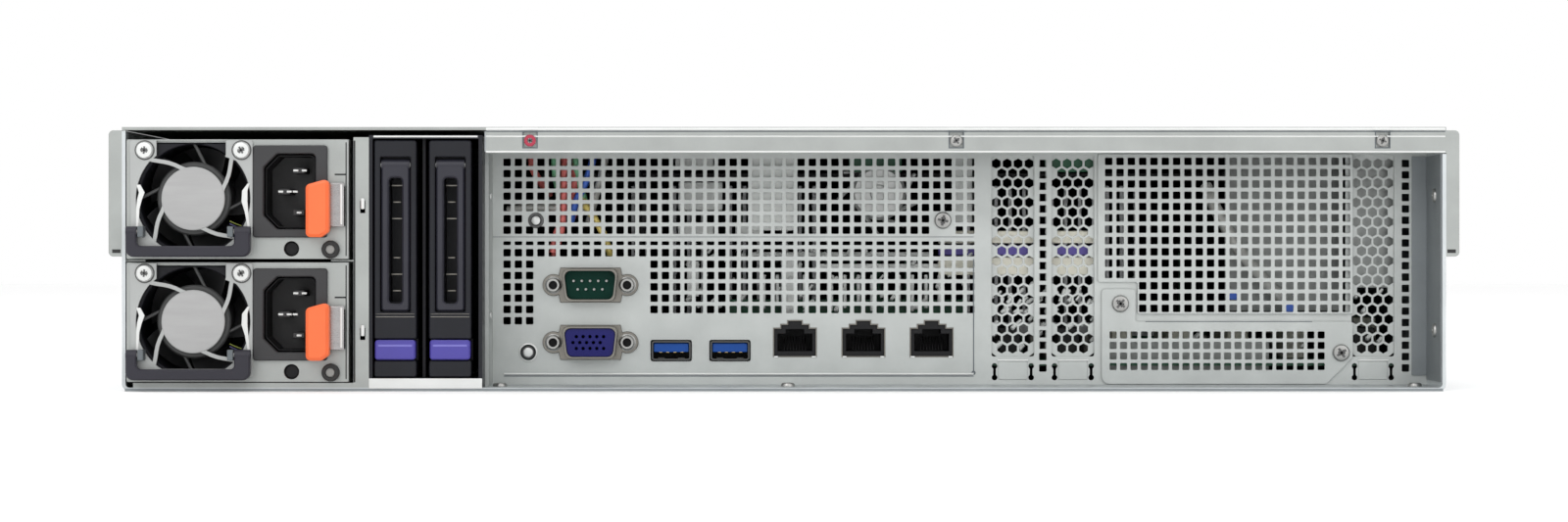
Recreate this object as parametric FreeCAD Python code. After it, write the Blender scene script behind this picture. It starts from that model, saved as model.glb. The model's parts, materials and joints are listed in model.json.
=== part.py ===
import FreeCAD, Part
import math
import os

# 2U rack server. X is across, Y runs from the rear (-Y) to the front (+Y), Z is up from the underside.
# Every length is in millimetres. The origin is the centre of the underside of the whole object's box.

V = FreeCAD.Vector

# ---- clearances -----------------------------------------------------------------------------------
running_gap = 0.3
pin_gap = 0.05

# ---- chassis --------------------------------------------------------------------------------------
chassis_width = 438.0
chassis_depth = 730.0
chassis_height = 87.5
sheet = 1.2
cover_sheet = 1.0
bend_radius = 2.5
bulkhead_drop = 2.0
cover_length = 545.0
cover_flange = 10.0
cover_rear_flange = 7.6
cover_screw_xs = (-84.0, 57.0, 198.0)
cover_screw_drop = 4.5
cover_screw_radius = 2.0
cover_recess_half = 2.6
cover_recess_drop = 7.1
cover_recess_sheet = 0.8
cover_recess_lap = 0.8
brace_height = 6.8

latch_proud = 8.0
ear_handle_proud = 28.0
overall_length = latch_proud + chassis_depth + ear_handle_proud
rear = latch_proud - overall_length / 2
front = rear + chassis_depth
half_width = chassis_width / 2
wall_in = half_width - sheet
cover_under = chassis_height - cover_sheet
wall_top = cover_under - running_gap
brace_y = rear + cover_sheet + cover_recess_sheet + running_gap

# ---- screws ---------------------------------------------------------------------------------------
screw_head_radius = 2.9
screw_head_height = 1.6
panel_screw_x = 53.8
panel_screw_z = 56.9
mezz_screw_left = 6.3
mezz_screw_drop = 5.0
mezz_screw_right = 4.0
mezz_screw_rise = 1.6
wall_screw_station = 14.0
wall_screw_radius = 2.4
wall_screw_height = 1.2
wall_screw_zs = (20.0, 65.0)
floor_screw_station = 16.0
floor_screw_height = 1.2
floor_screw_xs = (-95.0, 1.3, 211.0)

# ---- rear panel -----------------------------------------------------------------------------------
panel_recess = 33.0
bay_width = 119.2
panel_left = bay_width - wall_in
brace_overlap = 0.6
brace_length = wall_in - panel_left + brace_overlap
panel_flange = 20.0
mesh_pitch = 7.66
mesh_web = 1.33
mesh_left = -95.7
mesh_columns = 21
mesh_top = 78.5
mesh_rows = 7
lower_mesh_top = 41.0
boss_x = -84.0
boss_clearance = 4.6
panel_face = rear + panel_recess
panel_back = panel_face + sheet

# ---- expansion slots ------------------------------------------------------------------------------
slot_pitch = 20.32
slot_field = 140.3
first_slot_x = wall_in - slot_field
slot_count = 7
slot_window = 14.0
slot_bottom = 10.5
slot_top = 79.0
covered_slots = (0, 1, slot_count - 1)
cover_plate_width = 18.4
cover_plate_sheet = 0.9
cover_plate_top = 83.0
cover_plate_foot = 1.6
cover_plate_shoulder = 3.0
tongue_inset = 4.0
hex_field_rise = 1.6
hex_field_drop = 1.0
pocket_slot_width = 1.2
pocket_slot_bottom = 2.8
pocket_slot_top = 8.6
pocket_slot_spread = 6.3
web_hole_shift = 0.9
hex_pitch = 6.65
hex_web = 1.2
web_hole_width = 2.5
blank_sheet = 1.0
blank_left = 106.2
blank_right = 192.5
blank_bottom = 25.2
blank_top = 79.4
blank_notch_width = 13.4
blank_notch_top = 36.0
window_margin = 3.0
blank_web = 3.0
mezz_bottom = 1.5
mezz_top = 22.7
mezz_left = 107.5
mezz_tab_width = 11.5
mezz_tab_top = 33.7
mezz_corner_cut = 9.0
mezz_corner = 2.7
mezz_columns = 9
mezz_rows = 2
mezz_field_drop = 4.0
mezz_window_rise = 0.2
plate_corner = 1.0

# ---- motherboard ----------------------------------------------------------------------------------
board_width = 305.0
board_depth = 330.0
board_sheet = 1.6
standoff = 6.4
standoff_radius = 3.0
standoff_inset_x = 10.0
standoff_inset_y = 8.0
board_gap = 3.1
board_left = panel_left + board_gap
board_rear_gap = 1.2
board_rear = panel_back + board_rear_gap
board_bottom = sheet + standoff
board_top = board_bottom + board_sheet
board_right = board_left + board_width
board_front = board_rear + board_depth
socket_xs = (-20.0, 100.0)
socket_depth_from_rear = 190.0
socket_width = 82.0
socket_length = 92.0
socket_height = 6.0
heatsink_height = 56.0
heatsink_base = 5.0
heatsink_inset = 2.0
fin_sheet = 1.2
fin_pitch = 5.2
module_length = 133.4
module_height = 31.0
module_sheet = 4.0
module_pitch = 9.0
modules_beside_socket = 4
module_seat = 6.0
module_start = 5.0
module_socket_side = 1.0
module_socket_end = 4.0
duct_sheet = 1.0
duct_rise = 3.0
duct_side = 30.0
duct_rear_reach = 12.0
duct_front_gap = 2.0
duct_corner = 3.0

# ---- connectors -----------------------------------------------------------------------------------
dsub_x = -65.5
serial_z = 35.0
video_z = 15.6
dsub_width = 19.0
dsub_height = 11.0
dsub_slope = 1.2
dsub_corner = 2.0
dsub_body_rise = 0.8
serial_insert_depth = 4.0
video_insert_depth = 0.9
dsub_screw_pitch = 25.0
dsub_body_width = 31.0
dsub_body_depth = 25.0
dsub_proud = 5.6
dsub_wall = 0.8
jack_screw_radius = 2.6
jack_screw_proud = 4.6
usb_xs = (-38.2, -18.3)
usb_z = 12.8
usb_width = 13.3
usb_height = 6.6
usb_depth = 18.0
usb_wall = 0.6
usb_corner = 0.8
usb_back = 2.0
usb_foot_inset = 1.0
usb_foot_start = 3.0
usb_tongue = 2.0
usb_tongue_inset = 1.2
usb_tongue_rise = 0.2
usb_tongue_recess = 0.8
lan_xs = (3.7, 26.9, 50.0)
lan_width = 15.2
lan_height = 13.0
lan_depth = 21.0
lan_floor = 3.4
lan_back = 3.0
lan_mouth = 11.8
lan_mouth_height = 5.7
lan_tab_width = 6.2
lan_tab_height = 3.2
port_proud = 1.0
port_gap = 0.3
id_button_x = -86.6
id_button_z = 12.2
id_button_radius = 2.4
id_button_travel = 1.2
id_button_proud = 1.0
id_button_inside = 2.0
id_switch_width = 8.0
id_switch_back = 10.0
id_switch_height = 6.0

# ---- power supplies -------------------------------------------------------------------------------
supply_width = 73.5
supply_height = 39.6
supply_depth = 185.0
supply_pitch = 40.7
supply_floor = 3.1
supply_sheet = 1.0
supply_left = -wall_in + running_gap
supply_right = supply_left + supply_width
supply_finger_width = 46.0
supply_finger_length = 8.0
supply_finger_sheet = 1.6
supply_fan_inset = 22.2
supply_fan_x = supply_left + supply_fan_inset
supply_fan_rise = 20.0
supply_fan_size = 40.0
supply_fan_height = 37.0
supply_fan_depth = 28.0
supply_fan_bore = 18.0
supply_fan_corner = 1.2
supply_fan_lap = 0.6
supply_motor_radius = 12.2
supply_motor_sheet = 3.0
supply_strut = 1.4
supply_strut_angle = 82.0
supply_hub_radius = 11.6
supply_blade_radius = 17.4
supply_blades = 5
supply_spindle = 1.0
guard_sheet = 1.0
guard_left_margin = 1.9
guard_right_gap = 0.1
guard_top = 19.3
guard_bottom = 18.4
guard_bar_top = 15.7
guard_opening = 18.9
guard_ear_width = 8.9
guard_ear_bottom = 12.5
guard_corner = 0.8
guard_disc = 10.5
guard_arm = 1.3
guard_arm_start = 24.0
guard_arm_sweep = 21.0
guard_arm_bow = 0.6
guard_arm_bite = 0.8
guard_screw = 16.0
lamp_x = 12.6
lamp_rise = 3.3
lamp_radius = 2.5
supply_vents = 6
supply_vent_start = 10.0
supply_vent_pitch = 9.0
supply_vent_width = 6.0
supply_vent_height = 8.0
supply_vent_drop = 4.0
bumper_radius = 3.0
bumper_rise = 3.1
bumper_proud = 2.4
bumper_shift = 0.1
inlet_inset = 42.0
inlet_left = supply_left + inlet_inset
inlet_width = 24.6
inlet_height = 30.5
inlet_rise = 7.1
inlet_proud = 1.5
inlet_mouth_width = 17.0
inlet_mouth_height = 25.0
inlet_mouth_corner = 4.5
inlet_mouth_inset = 3.6
inlet_depth = 24.0
inlet_cavity = 19.0
inlet_body_inset = 1.5
inlet_window_inset = 1.2
contact_length = 15.0
contact_width = 4.0
contact_thickness = 2.0
contact_pitch = 7.0
live_contact_shift = 2.6
earth_contact_shift = -2.2
handle_left = supply_left + 0.6
handle_width = 41.0
handle_height = 10.1
handle_bar = 3.5
handle_arm = 3.6
handle_arm_right = 5.2
handle_corner = 2.6
handle_inner_corner = 1.4
handle_thickness = 3.6
handle_rise = 0.7
handle_pin_radius = 0.9
handle_pin_inset = 0.6
handle_lug = 2.0
latch_width = 7.6
latch_height = 20.0
latch_rise = 7.2
latch_right = supply_right - 5.8
latch_sheet = 1.0
latch_spring_width = 5.6
latch_end = latch_right + latch_spring_width - latch_sheet
latch_travel = 1.6
latch_corner = 1.0
latch_top_slope = 2.4
latch_foot_cut = 2.6
latch_foot_rise = 1.8
latch_spring_low = 3.4
latch_spring_drop = 1.2
latch_arm_low = 4.3
latch_arm_height = 12.0
latch_arm_length = 30.0
latch_slot_margin = 0.5

# ---- power supply cage ----------------------------------------------------------------------------
partition_side_gap = 1.6
partition_x = supply_right + partition_side_gap
partition_strip = 5.1
partition_gap = 5.0
partition_depth = supply_depth + partition_gap
partition_top = 84.1
ledge_sheet = 0.5
supply_runner = 6.0
runner_start = 2.0
strip_hole_left = 2.2
strip_hole_right = 3.9
strip_hole_half = 2.0
strip_hole_zs = (19.0, 61.0)
power_board_sheet = 1.6
receptacle_margin = 3.0
receptacle_wall = 2.5
receptacle_half_height = 5.0
receptacle_gap = 2.0
receptacle_floor = 1.0

# ---- rear drive cage ------------------------------------------------------------------------------
cage_side_gap = 5.1
cage_left = partition_x + cage_side_gap
cage_right = panel_left - sheet
cage_depth = 150.0
cage_roof = 83.6
rear_tray_width = 13.9
rear_tray_pitch = 18.15
rear_tray_bottom = 4.7
rear_tray_top = 83.1
rear_tray_depth = 118.0
tray_middle = 8.7
rear_tray_x = cage_left + tray_middle
rear_drive_thickness = 9.5
rear_drive_width = 69.85
rear_drive_length = 100.2
rear_tray_sheet = 0.9
divider_sheet = 1.0
guide_start = 6.0
floor_rail_start = 1.0
rear_board_gap = 4.0
rear_socket_half = 3.0
rear_socket_rise = 8.0
rear_socket_height = 42.0
lever_width = 9.4
lever_bottom = 26.5
lever_top = 77.6
lever_thickness = 4.0
lever_slot = 4.5
lever_slot_bottom = 29.0
lever_slot_top = 71.0
lever_pin_radius = 1.0
lever_pin_drop = 2.6
lever_recess = 0.5
lever_pocket_room = 1.6
lever_top_room = 2.0
lever_pin_bite = 0.4
tray_rail_inset = 1.0
tray_front_depth = 14.0
button_bottom = 10.5
button_height = 6.5
button_width = 13.3
button_proud = 0.8
button_length = 6.0
button_travel = 1.5

# ---- system fans ----------------------------------------------------------------------------------
fan_size = 80.0
fan_depth = 38.0
fan_count = 4
fan_pitch = 87.0
fan_bore = 38.2
fan_hub_radius = 16.0
fan_blade_radius = 37.4
fan_blades = 7
fan_corner = 4.0
fan_spindle = 1.5
fan_spindle_start = 6.0
fan_rotor_start = 4.0
fan_strut_bite = 0.6
rotor_blade_sheet = 1.2
rotor_blade_pitch = 42.0
rotor_blade_root = 1.0
rotor_chord_share = 0.86
fan_station = 405.0
fan_bottom = 3.2
fan_strut = 3.0
wall_station = fan_station + fan_depth

# ---- front drives ---------------------------------------------------------------------------------
drive_columns = 4
drive_rows = 3
column_pitch = 107.5
row_pitch = 27.7
first_row_bottom = 2.2
carrier_width = 104.0
carrier_height = 26.4
carrier_rail = 1.2
carrier_face_depth = 16.0
carrier_face_sheet = 2.0
carrier_slots = 8
carrier_slot_width = 3.6
carrier_slot_height = 13.0
carrier_slot_pitch = 9.0
carrier_slot_rise = 3.0
carrier_lever_height = 5.0
carrier_groove = 0.8
carrier_groove_left = 6.0
carrier_groove_right = 12.0
carrier_side_height = 12.0
carrier_proud = 3.0
front_drive_width = 101.6
front_drive_height = 26.1
front_drive_length = 147.0
drive_gap = 1.0
socket_reach = 4.0
backplane_sheet = 2.0
backplane_station = (chassis_depth + carrier_proud - carrier_face_depth - drive_gap - front_drive_length
                     - socket_reach - running_gap - backplane_sheet)
backplane_slot_half = 36.0
backplane_slot_low = 15.0
backplane_slot_high = 23.0
drive_socket_left = 32.0
drive_socket_right = 14.0
drive_socket_low = 3.0
drive_socket_high = 9.0
divider_front_gap = 14.0
ledge_width = 2.2
spacer_zs = (20.0, 60.0)
spacer_height = 4.0
spacer_end = 20.0

# ---- rack ears and rails --------------------------------------------------------------------------
ear_reach = 22.3
ear_width = chassis_width + 2 * ear_reach
ear_sheet = 3.0
ear_hole_inset = 8.75
ear_hole_span = ear_width - 2 * ear_hole_inset
ear_hole_spacing = 76.2
ear_slot_length = 10.3
ear_slot_half = 3.4
ear_top = 86.5
ear_bottom = 1.0
ear_corner = 3.0
ear_flange = 24.0
ear_flange_sheet = 1.6
ear_flange_bottom = 4.0
ear_flange_gap = 4.0
ear_handle_inset = 0.6
ear_handle_height = 56.0
ear_handle_bar = 7.0
ear_handle_width = 9.0
power_button_radius = 4.0
power_button_travel = 1.5
power_button_inset = 7.3
power_button_z = 26.0
power_button_proud = 0.6
power_button_x = ear_width / 2 - power_button_inset
power_cup_wall = 2.0
power_cup_depth = 7.0
power_bore_depth = 5.5
rail_height = 41.8
rail_bottom = 44.6
rail_depth = 4.4
rail_sheet = 1.0
rail_lip = 6.5
rail_corner = 1.6
rail_inner_corner = 0.6
rail_cap = 1.0
rail_length = 700.0


# ---- shape helpers --------------------------------------------------------------------------------
def box(x0, x1, y0, y1, z0, z1):
    return Part.makeBox(x1 - x0, y1 - y0, z1 - z0, V(x0, y0, z0))


def rod_y(x, z, radius, y0, y1):
    return Part.makeCylinder(radius, y1 - y0, V(x, y0, z), V(0, 1, 0))


def rod_x(y, z, radius, x0, x1):
    return Part.makeCylinder(radius, x1 - x0, V(x0, y, z), V(1, 0, 0))


def outline(points, y):
    """Closed wire in the plane at y through (x, z) points; a third value rounds that corner."""
    knots = []
    for i, point in enumerate(points):
        here = V(point[0], y, point[1])
        if len(point) == 2:
            knots.append((here, None, here))
            continue
        last = points[i - 1]
        following = points[(i + 1) % len(points)]
        back = (V(last[0], y, last[1]) - here).normalize()
        ahead = (V(following[0], y, following[1]) - here).normalize()
        half_angle = back.getAngle(ahead) / 2
        reach = point[2] / math.tan(half_angle)
        centre = here + (back + ahead).normalize() * (point[2] / math.sin(half_angle))
        middle = centre + (here - centre).normalize() * point[2]
        knots.append((here + back * reach, middle, here + ahead * reach))
    edges = []
    for i, (start, middle, end) in enumerate(knots):
        if middle:
            edges.append(Part.Arc(start, middle, end).toShape())
        begin = knots[(i + 1) % len(knots)][0]
        if (begin - end).Length > 1e-6:
            edges.append(Part.LineSegment(end, begin).toShape())
    return Part.Wire(edges)


def rectangle(x0, x1, z0, z1, y, radius=0.0):
    corners = [(x0, z0), (x1, z0), (x1, z1), (x0, z1)]
    if radius:
        corners = [(x, z, radius) for x, z in corners]
    return outline(corners, y)


def circle(x, z, radius, y):
    return Part.Wire(Part.makeCircle(radius, V(x, y, z), V(0, 1, 0)))


def hexagon(x, z, across_flats, y):
    radius = across_flats / math.sqrt(3)
    angles = [math.radians(60 * i) for i in range(6)]
    return outline([(x + radius * math.sin(a), z + radius * math.cos(a)) for a in angles], y)


def plate(outer, holes, thickness):
    """Sheet of the given outline and holes, which lie in one plane, thickened towards +Y."""
    face = Part.makeFace([outer] + holes, "Part::FaceMakerBullseye")
    return face.extrude(V(0, thickness, 0))


def fused(shapes):
    return shapes[0].multiFuse(shapes[1:]).removeSplitter()


def group(shapes):
    solids = []
    for shape in shapes:
        solids += shape.Solids
    return Part.Compound(solids)


def mesh_squares(left, top, columns, rows, y, wanted):
    """Square perforations on the mesh pitch from a top left corner, where wanted(x0, x1, z0, z1) holds."""
    hole = mesh_pitch - mesh_web
    wires = []
    for column in range(columns):
        for row in range(rows):
            x0 = left + column * mesh_pitch
            z1 = top - row * mesh_pitch
            if wanted(x0, x0 + hole, z1 - hole, z1):
                wires.append(rectangle(x0, x0 + hole, z1 - hole, z1, y))
    return wires


# ---- chassis --------------------------------------------------------------------------------------
def chassis_pan():
    """Floor and side walls folded from one sheet, with a brace across the rear edge."""
    inner_radius = bend_radius - sheet
    section = outline([
        (-half_width, wall_top), (-half_width, 0, bend_radius),
        (half_width, 0, bend_radius), (half_width, wall_top),
        (wall_in, wall_top), (wall_in, sheet, inner_radius),
        (-wall_in, sheet, inner_radius), (-wall_in, wall_top),
    ], rear)
    pan = Part.Face(section).extrude(V(0, chassis_depth, 0))
    brace = box(wall_in - brace_length, wall_in, brace_y, brace_y + sheet,
                wall_top - brace_height, wall_top)
    flange_room = box(wall_in - 1.0, half_width + 1.0, rear - 1.0, brace_y,
                      cover_under - cover_rear_flange - running_gap, chassis_height)
    return fused([pan.cut(flange_room), brace])


def bulkhead(y, holes, thickness):
    """Cross sheet that follows the pan's bends and clears the cover's side flanges."""
    top = wall_top - bulkhead_drop
    shoulder = cover_under - cover_flange - running_gap
    narrow = wall_in - cover_sheet - 2 * running_gap
    edge = outline([
        (-wall_in, sheet, bend_radius), (wall_in, sheet, bend_radius), (wall_in, shoulder),
        (narrow, shoulder), (narrow, top), (-narrow, top), (-narrow, shoulder), (-wall_in, shoulder),
    ], y)
    return plate(edge, holes, thickness)


def top_cover():
    """Lid with side flanges inside the walls, a rear flange, and three captive screws in its recesses."""
    edge = wall_in - running_gap
    cover_front = rear + cover_length
    flange_start = rear + partition_depth + supply_finger_length + cover_flange
    parts = [box(-half_width, half_width, rear, cover_front, cover_under, chassis_height)]
    for side in (-1, 1):
        x_out = side * edge
        x_in = side * (edge - cover_sheet)
        parts.append(box(min(x_out, x_in), max(x_out, x_in), flange_start, cover_front,
                         cover_under - cover_flange, cover_under))
    parts.append(box(panel_left, half_width, rear, rear + cover_sheet,
                     cover_under - cover_rear_flange, cover_under))
    recess_bottom = chassis_height - cover_recess_drop
    recesses = []
    heads = []
    for x in cover_screw_xs:
        recesses.append(box(x - cover_recess_half, x + cover_recess_half, rear, rear + cover_sheet,
                            recess_bottom, chassis_height))
        heads.append(rod_y(x, chassis_height - cover_screw_drop, cover_screw_radius, rear,
                           rear + cover_sheet))
    lid = fused(parts).cut(Part.Compound(recesses))
    lap = cover_recess_half + cover_recess_lap
    seats = [box(x - lap, x + lap, rear + cover_sheet, rear + cover_sheet + cover_recess_sheet,
                 recess_bottom - cover_recess_lap, cover_under) for x in cover_screw_xs]
    return group([fused([lid] + seats)] + heads)


def slide_rails():
    """Inner slide members on both side walls: C sections with rounded lips and a closed rear end."""
    members = []
    rail_front = front - (chassis_depth - rail_length) / 2
    top = rail_bottom + rail_height
    for side in (-1, 1):
        wall = side * half_width
        out = side * (half_width + rail_depth)
        web = side * (half_width + rail_sheet)
        skin = side * (half_width + rail_depth - rail_sheet)
        section = outline([
            (wall, rail_bottom), (out, rail_bottom, rail_corner), (out, rail_bottom + rail_lip),
            (skin, rail_bottom + rail_lip), (skin, rail_bottom + rail_sheet, rail_inner_corner),
            (web, rail_bottom + rail_sheet), (web, top - rail_sheet),
            (skin, top - rail_sheet, rail_inner_corner), (skin, top - rail_lip), (out, top - rail_lip),
            (out, top, rail_corner), (wall, top),
        ], rear)
        end = outline([(wall, rail_bottom), (out, rail_bottom, rail_corner), (out, top, rail_corner),
                       (wall, top)], rear)
        member = Part.Face(section).extrude(V(0, rail_front - rear, 0))
        members.append(fused([member, Part.Face(end).extrude(V(0, rail_cap, 0))]))
    return group(members)


# ---- rear panel and its covers --------------------------------------------------------------------
def slot_x(index):
    return first_slot_x + index * slot_pitch


def dsub_outline(z, grow, y):
    """D shape of a connector shell, wider at the top; grow widens it all round."""
    half_top = dsub_width / 2 + grow
    half_bottom = half_top - dsub_slope
    half_high = dsub_height / 2 + grow
    return outline([
        (dsub_x - half_bottom, z - half_high, dsub_corner), (dsub_x + half_bottom, z - half_high, dsub_corner),
        (dsub_x + half_top, z + half_high, dsub_corner), (dsub_x - half_top, z + half_high, dsub_corner),
    ], y)


def rear_panel():
    """Recessed panel: square mesh, connector cut-outs, slot windows, and a left flange folded to the rear."""
    windows = []
    for index in covered_slots:
        x = slot_x(index)
        windows.append(rectangle(x - slot_window / 2, x + slot_window / 2, slot_bottom, slot_top, panel_face))
        for place in (x - pocket_slot_spread, x + pocket_slot_spread):
            windows.append(rectangle(place - pocket_slot_width / 2, place + pocket_slot_width / 2,
                                     pocket_slot_bottom, pocket_slot_top, panel_face))
    blank_middle = (blank_left + blank_right) / 2
    windows.append(outline([
        (blank_left + window_margin, blank_notch_top + window_margin),
        (blank_left + blank_notch_width + window_margin, blank_notch_top + window_margin),
        (blank_left + blank_notch_width + window_margin, blank_bottom + window_margin),
        (blank_middle - blank_web / 2, blank_bottom + window_margin),
        (blank_middle - blank_web / 2, blank_top - window_margin),
        (blank_left + window_margin, blank_top - window_margin),
    ], panel_face))
    windows.append(rectangle(blank_middle + blank_web / 2, blank_right - window_margin,
                             blank_bottom + window_margin, blank_top - window_margin, panel_face))
    windows.append(rectangle(mezz_left + mezz_tab_width, blank_right - mezz_corner_cut - window_margin,
                             board_top + mezz_window_rise, mezz_top - window_margin, panel_face))
    for z in (serial_z, video_z):
        windows.append(dsub_outline(z, port_gap, panel_face))
    for x in usb_xs:
        windows.append(rectangle(x - usb_width / 2 - port_gap, x + usb_width / 2 + port_gap,
                                 usb_z - usb_height / 2 - port_gap, usb_z + usb_height / 2 + port_gap,
                                 panel_face))
    for x in lan_xs:
        windows.append(rectangle(x - lan_width / 2 - port_gap, x + lan_width / 2 + port_gap,
                                 board_top - port_gap, board_top + lan_height + port_gap, panel_face))
    windows.append(circle(id_button_x, id_button_z, id_button_radius + running_gap, panel_face))

    clear = dsub_body_width / 2 + dsub_corner

    def in_mesh(x0, x1, z0, z1):
        x = (x0 + x1) / 2
        z = (z0 + z1) / 2
        beside_connectors = x1 < dsub_x - clear or x0 > dsub_x + clear
        level = abs(z - panel_screw_z) < boss_clearance
        boss = level and min(abs(x - boss_x), abs(x - panel_screw_x)) < boss_clearance
        return (z1 > lower_mesh_top + mesh_pitch / 2 or beside_connectors) and not boss

    holes = mesh_squares(mesh_left, mesh_top, mesh_columns, mesh_rows, panel_face, in_mesh)
    hole = mesh_pitch - mesh_web
    for x in (slot_x(0) + slot_pitch / 2, slot_x(slot_count - 1) + slot_pitch / 2 + web_hole_shift):
        for row in range(int((slot_top - slot_bottom) / mesh_pitch)):
            z1 = mesh_top - row * mesh_pitch
            holes.append(rectangle(x - web_hole_width / 2, x + web_hole_width / 2, z1 - hole, z1, panel_face))
    skin = plate(outline([
        (panel_left - sheet, sheet), (wall_in, sheet, bend_radius), (wall_in, wall_top),
        (panel_left - sheet, wall_top),
    ], panel_face), windows + holes, sheet)
    flange = box(panel_left - sheet, panel_left, panel_face - panel_flange, panel_face, sheet, cage_roof)
    return fused([skin, flange])


def slot_covers():
    """Slot covers seated behind the panel, with hexagonal mesh and a narrow tongue at the foot."""
    covers = []
    row_pitch_hex = hex_pitch * math.sqrt(3) / 2
    field_bottom = slot_bottom + hex_field_rise
    shoulder = slot_bottom + cover_plate_shoulder
    for index in covered_slots:
        x = slot_x(index)
        half = cover_plate_width / 2
        tongue = half - tongue_inset
        edge = outline([
            (x - tongue, board_top + cover_plate_foot), (x + tongue, board_top + cover_plate_foot),
            (x + tongue, slot_bottom), (x + half, shoulder),
            (x + half, cover_plate_top), (x - half, cover_plate_top),
            (x - half, shoulder), (x - tongue, slot_bottom),
        ], panel_back)
        holes = []
        rows = int((slot_top - field_bottom) / row_pitch_hex)
        for row in range(rows):
            z = slot_top - hex_field_drop - hex_pitch / 2 - row * row_pitch_hex
            if row % 2:
                places = (x,)
            else:
                places = (x - hex_pitch / 2, x + hex_pitch / 2)
            if z - hex_pitch / 2 > field_bottom:
                holes += [hexagon(place, z, hex_pitch - hex_web, panel_back) for place in places]
        covers.append(plate(edge, holes, cover_plate_sheet))
    return group(covers)


def riser_blank():
    """Plate over the four middle slots, notched at its lower left for the mezzanine cover's ear."""
    y = panel_face - blank_sheet
    edge = outline([
        (blank_left, blank_notch_top), (blank_left + blank_notch_width, blank_notch_top),
        (blank_left + blank_notch_width, blank_bottom), (blank_right, blank_bottom),
        (blank_right, blank_top), (blank_left, blank_top),
    ], y)

    def on_blank(x0, x1, z0, z1):
        return z0 > blank_notch_top + mesh_web or x0 > blank_left + blank_notch_width + mesh_web

    columns = int((blank_right - blank_left - mesh_pitch / 2) / mesh_pitch)
    rows = int((blank_top - blank_bottom) / mesh_pitch)
    left = (blank_left + blank_right) / 2 - (columns * mesh_pitch - mesh_web) / 2
    holes = mesh_squares(left, blank_top - mesh_web, columns, rows, y, on_blank)
    return plate(edge, holes, blank_sheet)


def mezz_cover():
    """Cover of the mezzanine card, with an ear for its left screw and a cut corner."""
    y = panel_face - blank_sheet
    edge = outline([
        (mezz_left, mezz_bottom, mezz_corner), (blank_right - mezz_corner_cut, mezz_bottom),
        (blank_right, mezz_bottom + mezz_corner_cut, 2 * plate_corner), (blank_right, mezz_top, plate_corner),
        (mezz_left + mezz_tab_width, mezz_top), (mezz_left + mezz_tab_width, mezz_tab_top, plate_corner),
        (mezz_left, mezz_tab_top, plate_corner),
    ], y)
    holes = mesh_squares(mezz_left + mesh_pitch / 2, mezz_top - mezz_field_drop, mezz_columns, mezz_rows, y,
                         lambda *corners: True)
    return plate(edge, holes, blank_sheet)


# ---- connectors -----------------------------------------------------------------------------------
def dsub_ports():
    """Serial plug above video socket on one stacked body, each with a metal shell and two jack screws."""
    body_top = serial_z + dsub_height / 2 + dsub_body_rise
    half_body = dsub_body_width / 2
    mouth = panel_face - dsub_proud
    body = [box(dsub_x - half_body, dsub_x + half_body, panel_back, panel_back + dsub_body_depth,
                board_top, body_top)]
    others = []
    for z, depth in ((serial_z, serial_insert_depth), (video_z, video_insert_depth)):
        body.append(plate(dsub_outline(z, 0.0, mouth), [dsub_outline(z, -dsub_wall, mouth)],
                          panel_back - mouth))
        insert = Part.Face(dsub_outline(z, -dsub_wall, mouth + depth))
        others.append(insert.extrude(V(0, panel_back - mouth - depth, 0)))
        for side in (-1, 1):
            x = dsub_x + side * dsub_screw_pitch / 2
            others.append(rod_y(x, z, jack_screw_radius, panel_face - jack_screw_proud, panel_face))
    return group([fused(body)] + others)


def usb_ports():
    """Two metal USB shells, each with its tongue in the upper half of the mouth."""
    parts = []
    mouth = panel_face - port_proud
    for x in usb_xs:
        half = usb_width / 2
        low = usb_z - usb_height / 2
        high = usb_z + usb_height / 2
        shell = plate(rectangle(x - half, x + half, low, high, mouth, usb_corner),
                      [rectangle(x - half + usb_wall, x + half - usb_wall, low + usb_wall, high - usb_wall,
                                 mouth)], usb_depth)
        back = box(x - half + usb_wall, x + half - usb_wall, mouth + usb_depth - usb_back,
                   mouth + usb_depth, low + usb_wall, high - usb_wall)
        tongue = box(x - half + usb_tongue_inset, x + half - usb_tongue_inset, mouth + usb_tongue_recess,
                     mouth + usb_depth - usb_back, usb_z + usb_tongue_rise,
                     usb_z + usb_tongue_rise + usb_tongue)
        foot = box(x - half + usb_foot_inset, x + half - usb_foot_inset, panel_back + usb_foot_start,
                   mouth + usb_depth, board_top, low)
        parts.append(fused([shell, back, foot]))
        parts.append(tongue)
    return group(parts)


def lan_jacks():
    """Three shielded network jacks with a stepped notch for the plug's latch."""
    parts = []
    mouth = panel_face - port_proud
    floor_z = board_top + lan_floor
    step_z = floor_z + lan_mouth_height
    tab_z = step_z + lan_tab_height
    for x in lan_xs:
        half = lan_width / 2
        half_mouth = lan_mouth / 2
        half_tab = lan_tab_width / 2
        socket = outline([
            (x - half_mouth, floor_z), (x + half_mouth, floor_z), (x + half_mouth, step_z),
            (x + half_tab, step_z), (x + half_tab, tab_z), (x - half_tab, tab_z),
            (x - half_tab, step_z), (x - half_mouth, step_z),
        ], mouth)
        body = box(x - half, x + half, mouth, mouth + lan_depth, board_top, board_top + lan_height)
        parts.append(body.cut(Part.Face(socket).extrude(V(0, lan_depth - lan_back, 0))))
    return group(parts)


def id_button():
    """Round identification button that passes through the panel with running clearance."""
    return rod_y(id_button_x, id_button_z, id_button_radius, panel_face - id_button_proud,
                 panel_back + id_button_inside)


# ---- inside ---------------------------------------------------------------------------------------
def socket_middle():
    """Depth of the processor sockets' centres."""
    return panel_back + socket_depth_from_rear


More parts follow.
